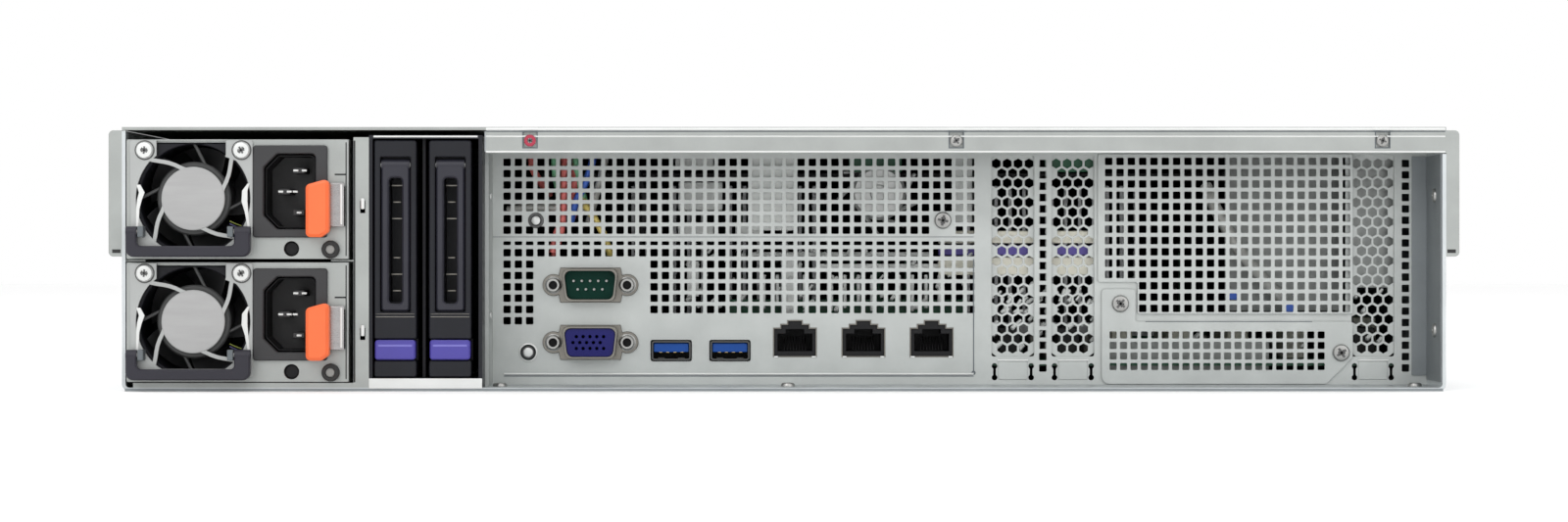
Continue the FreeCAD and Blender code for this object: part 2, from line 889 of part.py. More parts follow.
def motherboard():
    """Board, standoffs, processor sockets, memory sockets and the button's switch, each its own solid."""
    parts = [box(board_left, board_right, board_rear, board_front, board_bottom, board_top)]
    for x in (board_left + standoff_inset_x, (board_left + board_right) / 2, board_right - standoff_inset_x):
        for y in (board_rear + standoff_inset_y, (board_rear + board_front) / 2,
                  board_front - standoff_inset_y):
            parts.append(Part.makeCylinder(standoff_radius, standoff, V(x, y, sheet), V(0, 0, 1)))
    y = socket_middle()
    half_socket = module_sheet / 2 + module_socket_side
    reach = module_length / 2 + module_socket_end
    for x in socket_xs:
        parts.append(box(x - socket_width / 2, x + socket_width / 2, y - socket_length / 2,
                         y + socket_length / 2, board_top, board_top + socket_height))
        for place in module_places(x):
            parts.append(box(place - half_socket, place + half_socket, y - reach, y + reach,
                             board_top, board_top + module_seat))
    parts.append(box(id_button_x - id_switch_width / 2, id_button_x + id_switch_width / 2,
                     panel_back + id_button_inside + id_button_travel + running_gap,
                     panel_back + id_switch_back, board_top, board_top + id_switch_height))
    return group(parts)


def module_places(socket_x):
    """Memory module centres on both sides of a processor socket."""
    first = socket_width / 2 + module_start
    rights = [socket_x + first + i * module_pitch for i in range(modules_beside_socket // 2)]
    lefts = [socket_x - first - i * module_pitch for i in range(modules_beside_socket // 2)]
    return lefts + rights


def memory_modules():
    """Memory modules standing in their sockets."""
    y = socket_middle()
    low = board_top + module_seat
    return group([
        box(place - module_sheet / 2, place + module_sheet / 2, y - module_length / 2,
            y + module_length / 2, low, low + module_height)
        for x in socket_xs for place in module_places(x)
    ])


def heatsinks():
    """One finned heatsink over each processor socket."""
    sinks = []
    low = board_top + socket_height
    y0 = socket_middle() - socket_length / 2
    y1 = socket_middle() + socket_length / 2
    for x in socket_xs:
        half = socket_width / 2 - heatsink_inset
        parts = [box(x - half, x + half, y0, y1, low, low + heatsink_base)]
        fins = int((2 * half - fin_sheet) / fin_pitch) + 1
        start = x - (fins - 1) * fin_pitch / 2
        for i in range(fins):
            place = start + i * fin_pitch
            parts.append(box(place - fin_sheet / 2, place + fin_sheet / 2, y0, y1,
                             low + heatsink_base, low + heatsink_height))
        sinks.append(fused(parts))
    return group(sinks)


def air_duct():
    """Plastic hood over the processors and memory, open towards the fans and the rear."""
    left = socket_xs[0] - socket_width / 2 - duct_side
    right = socket_xs[1] + socket_width / 2 + duct_side
    y0 = socket_middle() - module_length / 2 - duct_rear_reach
    y1 = rear + fan_station - duct_front_gap
    top = board_top + socket_height + heatsink_height + duct_rise + duct_sheet
    section = outline([
        (left, board_top), (left + duct_sheet, board_top), (left + duct_sheet, top - duct_sheet),
        (right - duct_sheet, top - duct_sheet), (right - duct_sheet, board_top), (right, board_top),
        (right, top, duct_corner), (left, top, duct_corner),
    ], y0)
    return Part.Face(section).extrude(V(0, y1 - y0, 0))


def fan_x(index):
    return (index - (fan_count - 1) / 2) * fan_pitch


def fan_z():
    return fan_bottom + fan_size / 2


def fan_frames():
    """Four square fan frames with round bores and struts that carry the motor."""
    frames = []
    y0 = rear + fan_station
    y1 = y0 + fan_depth
    z = fan_z()
    half = fan_size / 2
    reach = fan_bore + fan_strut_bite
    for index in range(fan_count):
        x = fan_x(index)
        ring = plate(rectangle(x - half, x + half, z - half, z + half, y0, fan_corner),
                     [circle(x, z, fan_bore, y0)], fan_depth)
        frames.append(fused([
            ring,
            rod_y(x, z, fan_hub_radius, y1 - fan_strut, y1),
            box(x - reach, x + reach, y1 - fan_strut, y1, z - fan_strut / 2, z + fan_strut / 2),
            box(x - fan_strut / 2, x + fan_strut / 2, y1 - fan_strut, y1, z - reach, z + reach),
            rod_y(x, z, fan_spindle, y0 + fan_spindle_start, y1 - fan_strut),
        ]))
    return group(frames)


def rotor(x, z, y0, y1, hub_radius, tip_radius, blades, bore):
    """Hub with pitched blades, on a spindle along Y."""
    depth = y1 - y0
    reach = tip_radius - hub_radius + rotor_blade_root
    chord = rotor_chord_share * depth
    parts = [rod_y(x, z, hub_radius, y0, y1)]
    for i in range(blades):
        blade = Part.makeBox(reach, chord, rotor_blade_sheet,
                             V(hub_radius - rotor_blade_root, -chord / 2, -rotor_blade_sheet / 2))
        blade.rotate(V(0, 0, 0), V(1, 0, 0), rotor_blade_pitch)
        blade.rotate(V(0, 0, 0), V(0, 1, 0), 360.0 * i / blades)
        blade.translate(V(x, (y0 + y1) / 2, z))
        parts.append(blade)
    turned = fused(parts).common(rod_y(x, z, tip_radius, y0, y1))
    return turned.cut(rod_y(x, z, bore, y0, y1))


def fan_rotor(index):
    """Impeller of one system fan."""
    y0 = rear + fan_station + fan_rotor_start
    y1 = rear + fan_station + fan_depth - fan_strut - running_gap
    return rotor(fan_x(index), fan_z(), y0, y1, fan_hub_radius, fan_blade_radius, fan_blades,
                 fan_spindle + pin_gap)


def fan_wall():
    """Sheet across the chassis with a round window at each fan and a foot under the fans."""
    y = rear + wall_station
    holes = [circle(fan_x(i), fan_z(), fan_bore, y) for i in range(fan_count)]
    skin = bulkhead(y, holes, sheet)
    foot = box(bend_radius - wall_in, wall_in - bend_radius, rear + fan_station, y, sheet, fan_bottom)
    return fused([skin, foot])


def backplanes():
    """Front drive backplane, rear drive backplane and the power supplies' board with its receptacles."""
    y = rear + backplane_station
    slots = []
    sockets = []
    for column in range(drive_columns):
        x = carrier_centre(column)
        for row in range(drive_rows):
            z = row_bottom(row)
            slots.append(rectangle(x - backplane_slot_half, x + backplane_slot_half,
                                   z + backplane_slot_low, z + backplane_slot_high, y))
            sockets.append(box(x - drive_socket_left, x + drive_socket_right, y + backplane_sheet,
                               y + backplane_sheet + socket_reach, z + drive_socket_low,
                               z + drive_socket_high))
    rear_y = rear + rear_tray_depth + rear_board_gap
    rear_board = box(cage_left + sheet, cage_right - sheet, rear_y, rear_y + power_board_sheet,
                     sheet, cage_roof)
    power_y = rear + partition_depth + supply_finger_length
    power_board = box(bend_radius - wall_in, partition_x + sheet, power_y, power_y + power_board_sheet,
                      sheet, partition_top)
    socket_z = rear_tray_bottom + rear_socket_rise
    for index in (0, 1):
        x = tray_x(index)
        sockets.append(box(x - rear_socket_half, x + rear_socket_half,
                           rear + rear_tray_depth + running_gap, rear_y, socket_z,
                           socket_z + rear_socket_height))
    centre = (supply_left + supply_right) / 2
    half = supply_finger_width / 2 + receptacle_margin
    slot_half = half - receptacle_wall
    slot = running_gap + supply_finger_sheet / 2
    for module in (0, 1):
        z = supply_z(module) + supply_height / 2
        start = rear + supply_depth + receptacle_gap
        body = box(centre - half, centre + half, start, power_y, z - receptacle_half_height,
                   z + receptacle_half_height)
        sockets.append(body.cut(box(centre - slot_half, centre + slot_half, start,
                                    power_y - receptacle_floor, z - slot, z + slot)))
    return group([bulkhead(y, slots, backplane_sheet), rear_board, power_board] + sockets)


# ---- power supply cage and modules ----------------------------------------------------------------
def psu_cage():
    """Partition with a folded rear strip, a raised floor and runners between the two supplies."""
    length = partition_depth + supply_finger_length
    wall = box(partition_x, partition_x + sheet, rear, rear + length, sheet, partition_top)
    strip = plate(rectangle(partition_x, partition_x + partition_strip, sheet, partition_top, rear), [
        rectangle(partition_x + strip_hole_left, partition_x + strip_hole_right,
                  z - strip_hole_half, z + strip_hole_half, rear) for z in strip_hole_zs
    ], sheet)
    parts = [wall, strip,
             box(bend_radius - wall_in, partition_x, rear, rear + supply_depth, sheet,
                 supply_floor - running_gap)]
    middle = supply_floor + supply_height + (supply_pitch - supply_height) / 2
    start = rear + runner_start
    parts.append(box(supply_right - supply_runner, partition_x, start, rear + supply_depth,
                     middle - ledge_sheet / 2, middle + ledge_sheet / 2))
    left_runner = box(-wall_in, supply_left + supply_runner, start, rear + supply_depth,
                      middle - ledge_sheet / 2, middle + ledge_sheet / 2)
    return group([fused(parts), left_runner])


def supply_z(module):
    return supply_floor + module * supply_pitch


def psu_case(module):
    """Folded case with its face plate, openings for fan, inlet, lamp and latch, and the edge contacts."""
    low = supply_z(module)
    high = low + supply_height
    fan_centre = low + supply_fan_rise
    inlet_low = low + inlet_rise
    inside = supply_sheet
    back = rear + supply_depth
    outer = box(supply_left, supply_right, rear, back, low, high)
    half_width_of_fan = supply_fan_size / 2 - supply_fan_lap
    half_height_of_fan = supply_fan_height / 2 - supply_fan_lap
    latch_low = low + latch_rise + latch_arm_low
    cuts = [
        box(supply_left + inside, supply_right - inside, rear + inside, back - inside,
            low + inside, high - inside),
        box(supply_fan_x - half_width_of_fan, supply_fan_x + half_width_of_fan, rear, rear + inside,
            fan_centre - half_height_of_fan, fan_centre + half_height_of_fan),
        box(inlet_left + inlet_window_inset, inlet_left + inlet_width - inlet_window_inset,
            rear, rear + inside, inlet_low + inlet_window_inset,
            inlet_low + inlet_height - inlet_window_inset),
        rod_y(inlet_left + lamp_x, low + lamp_rise, lamp_radius, rear, rear + inside),
        box(latch_end - latch_sheet - latch_travel - latch_slot_margin, supply_right - inside,
            rear, rear + inside,
            latch_low - latch_slot_margin, latch_low + latch_arm_height + latch_slot_margin),
    ]
    for i in range(supply_vents):
        x = supply_left + supply_vent_start + i * supply_vent_pitch
        top = high - supply_vent_drop
        cuts.append(box(x, x + supply_vent_width, back - inside, back, top - supply_vent_height, top))
    centre = (supply_left + supply_right) / 2
    z = low + supply_height / 2
    finger = box(centre - supply_finger_width / 2, centre + supply_finger_width / 2,
                 back, back + supply_finger_length,
                 z - supply_finger_sheet / 2, z + supply_finger_sheet / 2)
    bumper = rod_y(latch_right - bumper_shift, low + bumper_rise, bumper_radius, rear - bumper_proud, rear)
    return group([fused([outer.cut(Part.Compound(cuts)), finger]), bumper])


def handle_lug_x(side):
    """Left face of the lug that sits inside each arm of the handle."""
    if side == 0:
        return handle_left + handle_arm + running_gap
    return handle_left + handle_width - handle_arm_right - running_gap - handle_lug


def handle_pivot(module):
    """Depth and height of the handle's hinge axis."""
    y = rear - guard_sheet - screw_head_height - running_gap - handle_thickness / 2
    z = supply_z(module) + handle_rise + handle_height - handle_thickness / 2
    return y, z


def psu_handle(module):
    """U-shaped bail that hangs in front of the fan and swings out to be pulled."""
    y, pivot_z = handle_pivot(module)
    low = supply_z(module) + handle_rise
    high = low + handle_height
    x0 = handle_left
    x1 = handle_left + handle_width
    front_y = y - handle_thickness / 2
    shape = plate(outline([
        (x0, low, handle_corner), (x1, low, handle_corner), (x1, high), (x1 - handle_arm_right, high),
        (x1 - handle_arm_right, low + handle_bar, handle_inner_corner),
        (x0 + handle_arm, low + handle_bar, handle_inner_corner), (x0 + handle_arm, high), (x0, high),
    ], front_y), [], handle_thickness)
    rounder = fused([
        rod_x(y, pivot_z, handle_thickness / 2, x0, x1),
        box(x0, x1, front_y, front_y + handle_thickness, low, pivot_z),
    ])
    pin_hole = rod_x(y, pivot_z, handle_pin_radius + pin_gap, x0 + handle_pin_inset - pin_gap,
                     x1 - handle_pin_inset + pin_gap)
    return shape.common(rounder).cut(pin_hole)


def psu_fan(module):
    """Frame of the supply's fan: square ring, motor seat on four struts at the rear, and spindle."""
    z = supply_z(module) + supply_fan_rise
    x = supply_fan_x
    half = supply_fan_size / 2
    half_height = supply_fan_height / 2
    frame_rear = rear + supply_sheet
    frame_front = frame_rear + supply_fan_depth
    seat = frame_rear + supply_motor_sheet
    parts = [
        plate(rectangle(x - half, x + half, z - half_height, z + half_height, frame_rear, supply_fan_corner),
              [circle(x, z, supply_fan_bore, frame_rear)], supply_fan_depth),
        rod_y(x, z, supply_motor_radius, frame_rear, seat),
        rod_y(x, z, supply_spindle, seat, frame_front - supply_motor_sheet),
    ]
    reach = (supply_fan_bore + half_height) / 2
    for quarter in range(4):
        strut = Part.makeBox(reach, supply_motor_sheet, supply_strut, V(0, 0, -supply_strut / 2))
        strut.rotate(V(0, 0, 0), V(0, 1, 0), -supply_strut_angle - 90.0 * quarter)
        strut.translate(V(x, frame_rear, z))
        parts.append(strut)
    return fused(parts)


def swirl_arm(x, z, start_radius, end_radius, start_angle, sweep, width, y):
    """Curved arm of a stamped guard: a band between two arcs that leave the hub and reach the rim."""
    def at(radius, angle):
        a = math.radians(angle)
        return V(x + radius * math.cos(a), y, z + radius * math.sin(a))

    middle_radius = (start_radius + end_radius) / 2
    step = math.degrees(width / middle_radius)
    bow = start_angle + sweep * guard_arm_bow
    inner = Part.Arc(at(start_radius, start_angle), at(middle_radius, bow),
                     at(end_radius, start_angle + sweep)).toShape()
    outer = Part.Arc(at(start_radius, start_angle + step), at(middle_radius, bow + step),
                     at(end_radius, start_angle + sweep + step)).toShape()
    first = Part.LineSegment(at(start_radius, start_angle), at(start_radius, start_angle + step)).toShape()
    last = Part.LineSegment(at(end_radius, start_angle + sweep),
                            at(end_radius, start_angle + sweep + step)).toShape()
    return Part.Wire(Part.__sortEdges__([inner, last, outer, first]))


def psu_guard(module):
    """Stamped guard: disc, swirled arms, ears, side and bottom bars, and the handle's lugs and pins."""
    z = supply_z(module) + supply_fan_rise
    x = supply_fan_x
    y = rear - guard_sheet
    left = supply_left + guard_left_margin
    right = inlet_left - guard_right_gap
    blank = plate(outline([
        (left, z - guard_bottom), (right, z - guard_bottom),
        (right, z + guard_top, guard_corner), (left, z + guard_top, guard_corner),
    ], y), [], guard_sheet)
    bore = rod_y(x, z, guard_opening, y, rear).common(
        box(left, right, y, rear, z - guard_bar_top, z + guard_top))
    mouth = box(left + guard_ear_width, right - guard_ear_width, y, rear, z + guard_ear_bottom, z + guard_top)
    parts = [blank.cut(Part.Compound([bore, mouth])), rod_y(x, z, guard_disc, y, rear)]
    for quarter in range(4):
        wire = swirl_arm(x, z, guard_disc - guard_arm_bite, guard_opening + guard_arm_bite,
                         guard_arm_start + 90.0 * quarter, guard_arm_sweep, guard_arm, y)
        parts.append(Part.Face(wire).extrude(V(0, guard_sheet, 0)))
    pivot_y, pivot_z = handle_pivot(module)
    half = handle_thickness / 2
    lugs = []
    for side, edge, pin_x in ((0, left, handle_left + handle_pin_inset),
                              (1, right, handle_left + handle_width - handle_pin_inset)):
        lug_x = handle_lug_x(side)
        lug = box(lug_x, lug_x + handle_lug, pivot_y - half, y, pivot_z - half, pivot_z + half)
        middle = lug_x + handle_lug / 2
        pin = rod_x(pivot_y, pivot_z, handle_pin_radius, min(pin_x, middle), max(pin_x, middle))
        lugs.append(fused([lug, pin]))
        low_x = min(lug_x, edge)
        high_x = max(lug_x + handle_lug, edge)
        parts.append(box(low_x, high_x, y, rear, pivot_z - half, pivot_z + half))
    heads = [rod_y(x + side * guard_screw, z + guard_screw, screw_head_radius, y - screw_head_height, y)
             for side in (-1, 1)]
    return group([fused(parts)] + lugs + heads)


def psu_rotor(module):
    """Impeller of the supply's fan."""
    z = supply_z(module) + supply_fan_rise
    seat = rear + supply_sheet + supply_motor_sheet
    y1 = rear + supply_sheet + supply_fan_depth - supply_motor_sheet
    return rotor(supply_fan_x, z, seat + running_gap, y1, supply_hub_radius, supply_blade_radius,
                 supply_blades, supply_spindle + pin_gap)


def psu_inlet(module):
    """Mains inlet turned on its side: flange, keyed cavity and three contacts."""
    low = supply_z(module) + inlet_rise
    high = low + inlet_height
    x0 = inlet_left
    x1 = inlet_left + inlet_width
    mouth_y = rear - inlet_proud
    mouth_x0 = x0 + inlet_mouth_inset
    mouth_x1 = mouth_x0 + inlet_mouth_width
    middle = (low + high) / 2
    mouth_z0 = middle - inlet_mouth_height / 2
    mouth_z1 = middle + inlet_mouth_height / 2
    flange = box(x0, x1, mouth_y, rear, low, high)
    inset = inlet_body_inset
    body = box(x0 + inset, x1 - inset, rear, rear + inlet_depth, low + inset, high - inset)
    cavity = Part.Face(outline([
        (mouth_x0, mouth_z0 + inlet_mouth_corner), (mouth_x0 + inlet_mouth_corner, mouth_z0),
        (mouth_x1, mouth_z0), (mouth_x1, mouth_z1),
        (mouth_x0 + inlet_mouth_corner, mouth_z1), (mouth_x0, mouth_z1 - inlet_mouth_corner),
    ], mouth_y)).extrude(V(0, inlet_cavity, 0))
    shell = fused([flange, body]).cut(cavity)
    floor_y = mouth_y + inlet_cavity
    contacts = []
    for step, shift in ((-1, live_contact_shift), (0, earth_contact_shift), (1, live_contact_shift)):
        x = (mouth_x0 + mouth_x1) / 2 + shift
        z = middle + step * contact_pitch
        contacts.append(box(x - contact_width / 2, x + contact_width / 2, floor_y - contact_length, floor_y,
                            z - contact_thickness / 2, z + contact_thickness / 2))
    return group([shell] + contacts)


def psu_latch(module):
    """Release latch: a moulded thumb tab on a flat spring that bends into the case through its slot."""
    low = supply_z(module) + latch_rise
    high = low + latch_height
    x1 = latch_right
    x0 = x1 - latch_width
    tab_back = rear - inlet_proud - running_gap
    tab = plate(outline([
        (x0, low, latch_corner), (x1 - latch_foot_cut, low, latch_corner),
        (x1, low + latch_foot_rise, latch_corner), (x1, high, latch_corner),
        (x0, high - latch_top_slope, latch_corner),
    ], rear - latch_proud), [], tab_back - rear + latch_proud)
    arm_low = low + latch_arm_low
    spring = fused([
        box(x1, latch_end, tab_back - latch_sheet, tab_back, low + latch_spring_low, high - latch_spring_drop),
        box(latch_end - latch_sheet, latch_end, tab_back - latch_sheet, rear + latch_arm_length, arm_low,
            arm_low + latch_arm_height),
    ])
    return group([tab, spring])


# ---- rear drives ----------------------------------------------------------------------------------
def rear_drive_cage():
    """Walls, roof and middle guide of the two-drive cage beside the power supplies."""
    y1 = rear + cage_depth
    walls = [box(cage_left, cage_left + sheet, rear, y1, sheet, cage_roof + sheet),
             box(cage_right - sheet, cage_right, rear, y1, sheet, cage_roof + sheet),
             box(cage_left, cage_right, rear, y1, cage_roof, cage_roof + sheet)]
    centre = rear_tray_x + rear_tray_pitch / 2
    guide = box(centre - divider_sheet / 2, centre + divider_sheet / 2, rear + guide_start,
                rear + rear_tray_depth, sheet, cage_roof)
    floor_rail = box(cage_left + sheet, cage_right - sheet, rear + floor_rail_start,
                     rear + rear_tray_depth, sheet, rear_tray_bottom - running_gap)
    return fused(walls + [guide, floor_rail])


def tray_x(index):
    return rear_tray_x + index * rear_tray_pitch


def lever_pivot():
    """Depth and height of the carrier lever's hinge axis."""
    return rear + lever_thickness / 2 + lever_recess, lever_top - lever_pin_drop


def rear_carrier(index):
    """Drive tray: a moulded front that carries lever and button, two thin rails and the drive."""
    x = tray_x(index)
    half = rear_tray_width / 2
    face = rear
    back = rear + tray_front_depth
    block = box(x - half, x + half, face, back, rear_tray_bottom, rear_tray_top)
    pivot_y, pivot_z = lever_pivot()
    pocket_half = lever_width / 2 + running_gap
    pocket_back = face + lever_thickness + lever_pocket_room
    pocket = box(x - pocket_half, x + pocket_half, face, pocket_back,
                 lever_bottom - running_gap, lever_top + lever_top_room)
    well = box(x - half, x + half, face,
               face + button_length + button_travel + running_gap,
               button_bottom - running_gap, button_bottom + button_height + running_gap)
    vent = box(x - lever_slot / 2, x + lever_slot / 2, face, back, lever_slot_bottom, lever_slot_top)
    front_piece = block.cut(Part.Compound([pocket, well])).cut(vent)
    pin_half = pocket_half + lever_pin_bite
    pin = rod_x(pivot_y, pivot_z, lever_pin_radius, x - pin_half, x + pin_half)
    rails = []
    for z0, z1 in ((rear_tray_bottom, rear_tray_bottom + rear_tray_sheet),
                   (rear_tray_bottom + rear_tray_sheet + rear_drive_width,
                    rear_tray_bottom + 2 * rear_tray_sheet + rear_drive_width)):
        rails.append(box(x - half + tray_rail_inset, x + half - tray_rail_inset, back,
                         rear + rear_tray_depth, z0, z1))
    drive = box(x - rear_drive_thickness / 2, x + rear_drive_thickness / 2,
                rear + rear_tray_depth - rear_drive_length, rear + rear_tray_depth,
                rear_tray_bottom + rear_tray_sheet, rear_tray_bottom + rear_tray_sheet + rear_drive_width)
    return group([fused([front_piece, pin] + rails), drive])


def rear_lever(index):
    """Slotted lever hinged at its top inside the tray's front."""
    x = tray_x(index)
    half = lever_width / 2
    pivot_y, pivot_z = lever_pivot()
    y0 = pivot_y - lever_thickness / 2
    bar = plate(rectangle(x - half, x + half, lever_bottom, pivot_z, y0),
                [rectangle(x - lever_slot / 2, x + lever_slot / 2, lever_slot_bottom, lever_slot_top, y0)],
                lever_thickness)
    eye = rod_x(pivot_y, pivot_z, lever_thickness / 2, x - half, x + half)
    hole = rod_x(pivot_y, pivot_z, lever_pin_radius + pin_gap, x - half, x + half)
    return fused([bar, eye]).cut(hole)


def rear_button(index):
    """Release button that slides in the tray's front."""
    x = tray_x(index)
    half = button_width / 2
    return box(x - half, x + half, rear - button_proud, rear + button_length,
               button_bottom, button_bottom + button_height)


# ---- front drives ---------------------------------------------------------------------------------
def carrier_centre(column):
    return (column - (drive_columns - 1) / 2) * column_pitch


def row_bottom(row):
    return first_row_bottom + row * row_pitch


def front_drive_cage():
    """Dividers with runners for the carriers, and the fixed roof at the front of the chassis."""
    y0 = rear + backplane_station + backplane_sheet
    y1 = front - divider_front_gap
    roof = box(-half_width, half_width, rear + cover_length + running_gap, front, wall_top, chassis_height)
    solids = []
    places = [(column - drive_columns / 2) * column_pitch for column in range(drive_columns + 1)]
    for index, place in enumerate(places):
        half = divider_sheet / 2
        parts = [box(place - half, place + half, y0, y1, sheet, wall_top)]
        for row in range(drive_rows):
            top = row_bottom(row) - running_gap
            thick = min(ledge_sheet, top - sheet)
            left = place - half
            right = place + half
            if index > 0:
                left = place - half - ledge_width
            if index < drive_columns:
                right = place + half + ledge_width
            parts.append(box(left, right, y0, y1, top - thick, top))
        solids.append(fused(parts))
    spacers = []
    for side in (-1, 1):
        edge = side * (drive_columns / 2 * column_pitch + divider_sheet / 2)
        for z in spacer_zs:
            spacers.append(box(min(edge, side * wall_in), max(edge, side * wall_in), y0 + spacer_end,
                               y1 - spacer_end, z, z + spacer_height))
    return fused([roof] + solids + spacers)


def front_carrier(column, row):
    """Drive tray with a vented front and a folded lever bar, holding a 3.5-inch drive between its rails."""
    x = carrier_centre(column)
    z = row_bottom(row)
    half = carrier_width / 2
    face_y = front + carrier_proud
    back_y = face_y - carrier_face_depth
    skin_y = face_y - carrier_face_sheet
    shell = box(x - half, x + half, back_y, face_y, z, z + carrier_height)
    cuts = [box(x - half + carrier_rail, x + half - carrier_rail, back_y, skin_y,
                z + carrier_rail, z + carrier_height - carrier_rail)]
    first = x - (carrier_slots - 1) * carrier_slot_pitch / 2 - carrier_slot_width / 2
    slot_low = z + carrier_lever_height + carrier_slot_rise
    for i in range(carrier_slots):
        place = first + i * carrier_slot_pitch
        cuts.append(box(place, place + carrier_slot_width, skin_y, face_y, slot_low,
                        slot_low + carrier_slot_height))
    groove_z = z + carrier_lever_height
    cuts.append(box(x - half + carrier_groove_left, x + half - carrier_groove_right,
                    face_y - carrier_groove, face_y, groove_z, groove_z + carrier_groove))
    parts = [shell.cut(Part.Compound(cuts))]
    drive_back = back_y - front_drive_length - drive_gap
    for side in (-1, 1):
        inner = x + side * front_drive_width / 2
        outer = x + side * half
        parts.append(box(min(inner, outer), max(inner, outer), drive_back, back_y, z,
                         z + carrier_side_height))
    drive = box(x - front_drive_width / 2, x + front_drive_width / 2, drive_back,
                back_y - drive_gap, z, z + front_drive_height)
    return group([fused(parts), drive])


# ---- rack ears ------------------------------------------------------------------------------------
def rack_ears():
    """Flanged ears with slotted holes and a pull handle, one each side; the right one holds a button."""
    ears = []
    skin_y = front - ear_sheet
    middle = (ear_top + ear_bottom) / 2
    low = middle - ear_handle_height / 2
    high = middle + ear_handle_height / 2
    for side in (-1, 1):
        inner = side * half_width
        outer = side * ear_width / 2
        centre = side * ear_hole_span / 2
        half_slot = ear_slot_length / 2
        holes = [rectangle(centre - half_slot, centre + half_slot, z - ear_slot_half, z + ear_slot_half,
                           skin_y, ear_slot_half - pin_gap)
                 for z in (middle - ear_hole_spacing / 2, middle + ear_hole_spacing / 2)]
        if side == 1:
            holes.append(circle(power_button_x, power_button_z, power_button_radius + running_gap, skin_y))
        parts = [plate(outline([
            (inner, ear_bottom), (outer, ear_bottom, ear_corner), (outer, ear_top, ear_corner),
            (inner, ear_top),
        ], skin_y), holes, ear_sheet)]
        x0 = min(inner + side * ear_handle_inset, inner + side * (ear_handle_inset + ear_handle_width))
        bail = box(x0, x0 + ear_handle_width, front, front + ear_handle_proud, low, high)
        parts.append(bail.cut(box(x0, x0 + ear_handle_width, front, front + ear_handle_proud - ear_handle_bar,
                                  low + ear_handle_bar, high - ear_handle_bar)))
        fold = inner + side * ear_flange_sheet
        parts.append(box(min(inner, fold), max(inner, fold), front - ear_flange, skin_y,
                         ear_flange_bottom, rail_bottom - ear_flange_gap))
        if side == 1:
            cup = rod_y(power_button_x, power_button_z, power_button_radius + power_cup_wall,
                        skin_y - power_cup_depth, skin_y)
            parts.append(cup.cut(rod_y(power_button_x, power_button_z, power_button_radius + running_gap,
                                       skin_y - power_bore_depth, skin_y)))
        ears.append(fused(parts))
    return group(ears)


def power_button():
    """Power button in its cup behind the right ear."""
    back = front - ear_sheet - power_bore_depth + power_button_travel + running_gap
    return rod_y(power_button_x, power_button_z, power_button_radius, back, front + power_button_proud)


def screws():
    """Screw heads fixed to the chassis: on the panel, its plates, the right wall and the floor."""
    heads = [rod_y(panel_screw_x, panel_screw_z, screw_head_radius, panel_face - screw_head_height,
                   panel_face)]
    y = panel_face - blank_sheet
    heads.append(rod_y(mezz_left + mezz_screw_left, mezz_tab_top - mezz_screw_drop, screw_head_radius,
                       y - screw_head_height, y))
    heads.append(rod_y(blank_right - mezz_screw_right, mezz_bottom + mezz_corner_cut + mezz_screw_rise,
                       screw_head_radius, y - screw_head_height, y))
    for z in wall_screw_zs:
        heads.append(rod_x(rear + wall_screw_station, z, wall_screw_radius, wall_in - wall_screw_height,
                           wall_in))
    for x in floor_screw_xs:
        heads.append(Part.makeCylinder(wall_screw_radius, floor_screw_height,
                                       V(x, rear + floor_screw_station, sheet), V(0, 0, 1)))
    return group(heads)


# ---- the nodes ------------------------------------------------------------------------------------
def nodes():
    """Yields each node's name with its shape."""
    for build in (chassis_pan, top_cover, slide_rails, rear_panel, slot_covers, riser_blank, mezz_cover,
                  dsub_ports, usb_ports, lan_jacks, id_button, motherboard, memory_modules, heatsinks,
                  air_duct, fan_frames, fan_wall, backplanes, psu_cage, rear_drive_cage, front_drive_cage,
                  rack_ears, power_button, screws):
        yield build.__name__, build()
    for index in range(fan_count):
        yield "fan_rotor_%d" % (index + 1), fan_rotor(index)
    for module in (0, 1):
        for build in (psu_case, psu_fan, psu_guard, psu_rotor, psu_inlet, psu_handle, psu_latch):
            yield build.__name__.replace("psu", "psu_%d" % (module + 1)), build(module)
    for index in (0, 1):
        for build in (rear_carrier, rear_lever, rear_button):
            yield "%s_%d" % (build.__name__, index + 1), build(index)
    for column in range(drive_columns):
        for row in range(drive_rows):
            yield "front_carrier_%d_%d" % (column + 1, row + 1), front_carrier(column, row)


os.makedirs("parts", exist_ok=True)
for name, shape in nodes():
    shape.exportStep("parts/%s.step" % name)
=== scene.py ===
"""Looks of a 2U rack server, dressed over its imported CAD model. Lengths here are in millimetres."""

import json
import math
import random

import bmesh
import bpy
from mathutils import Matrix, Vector


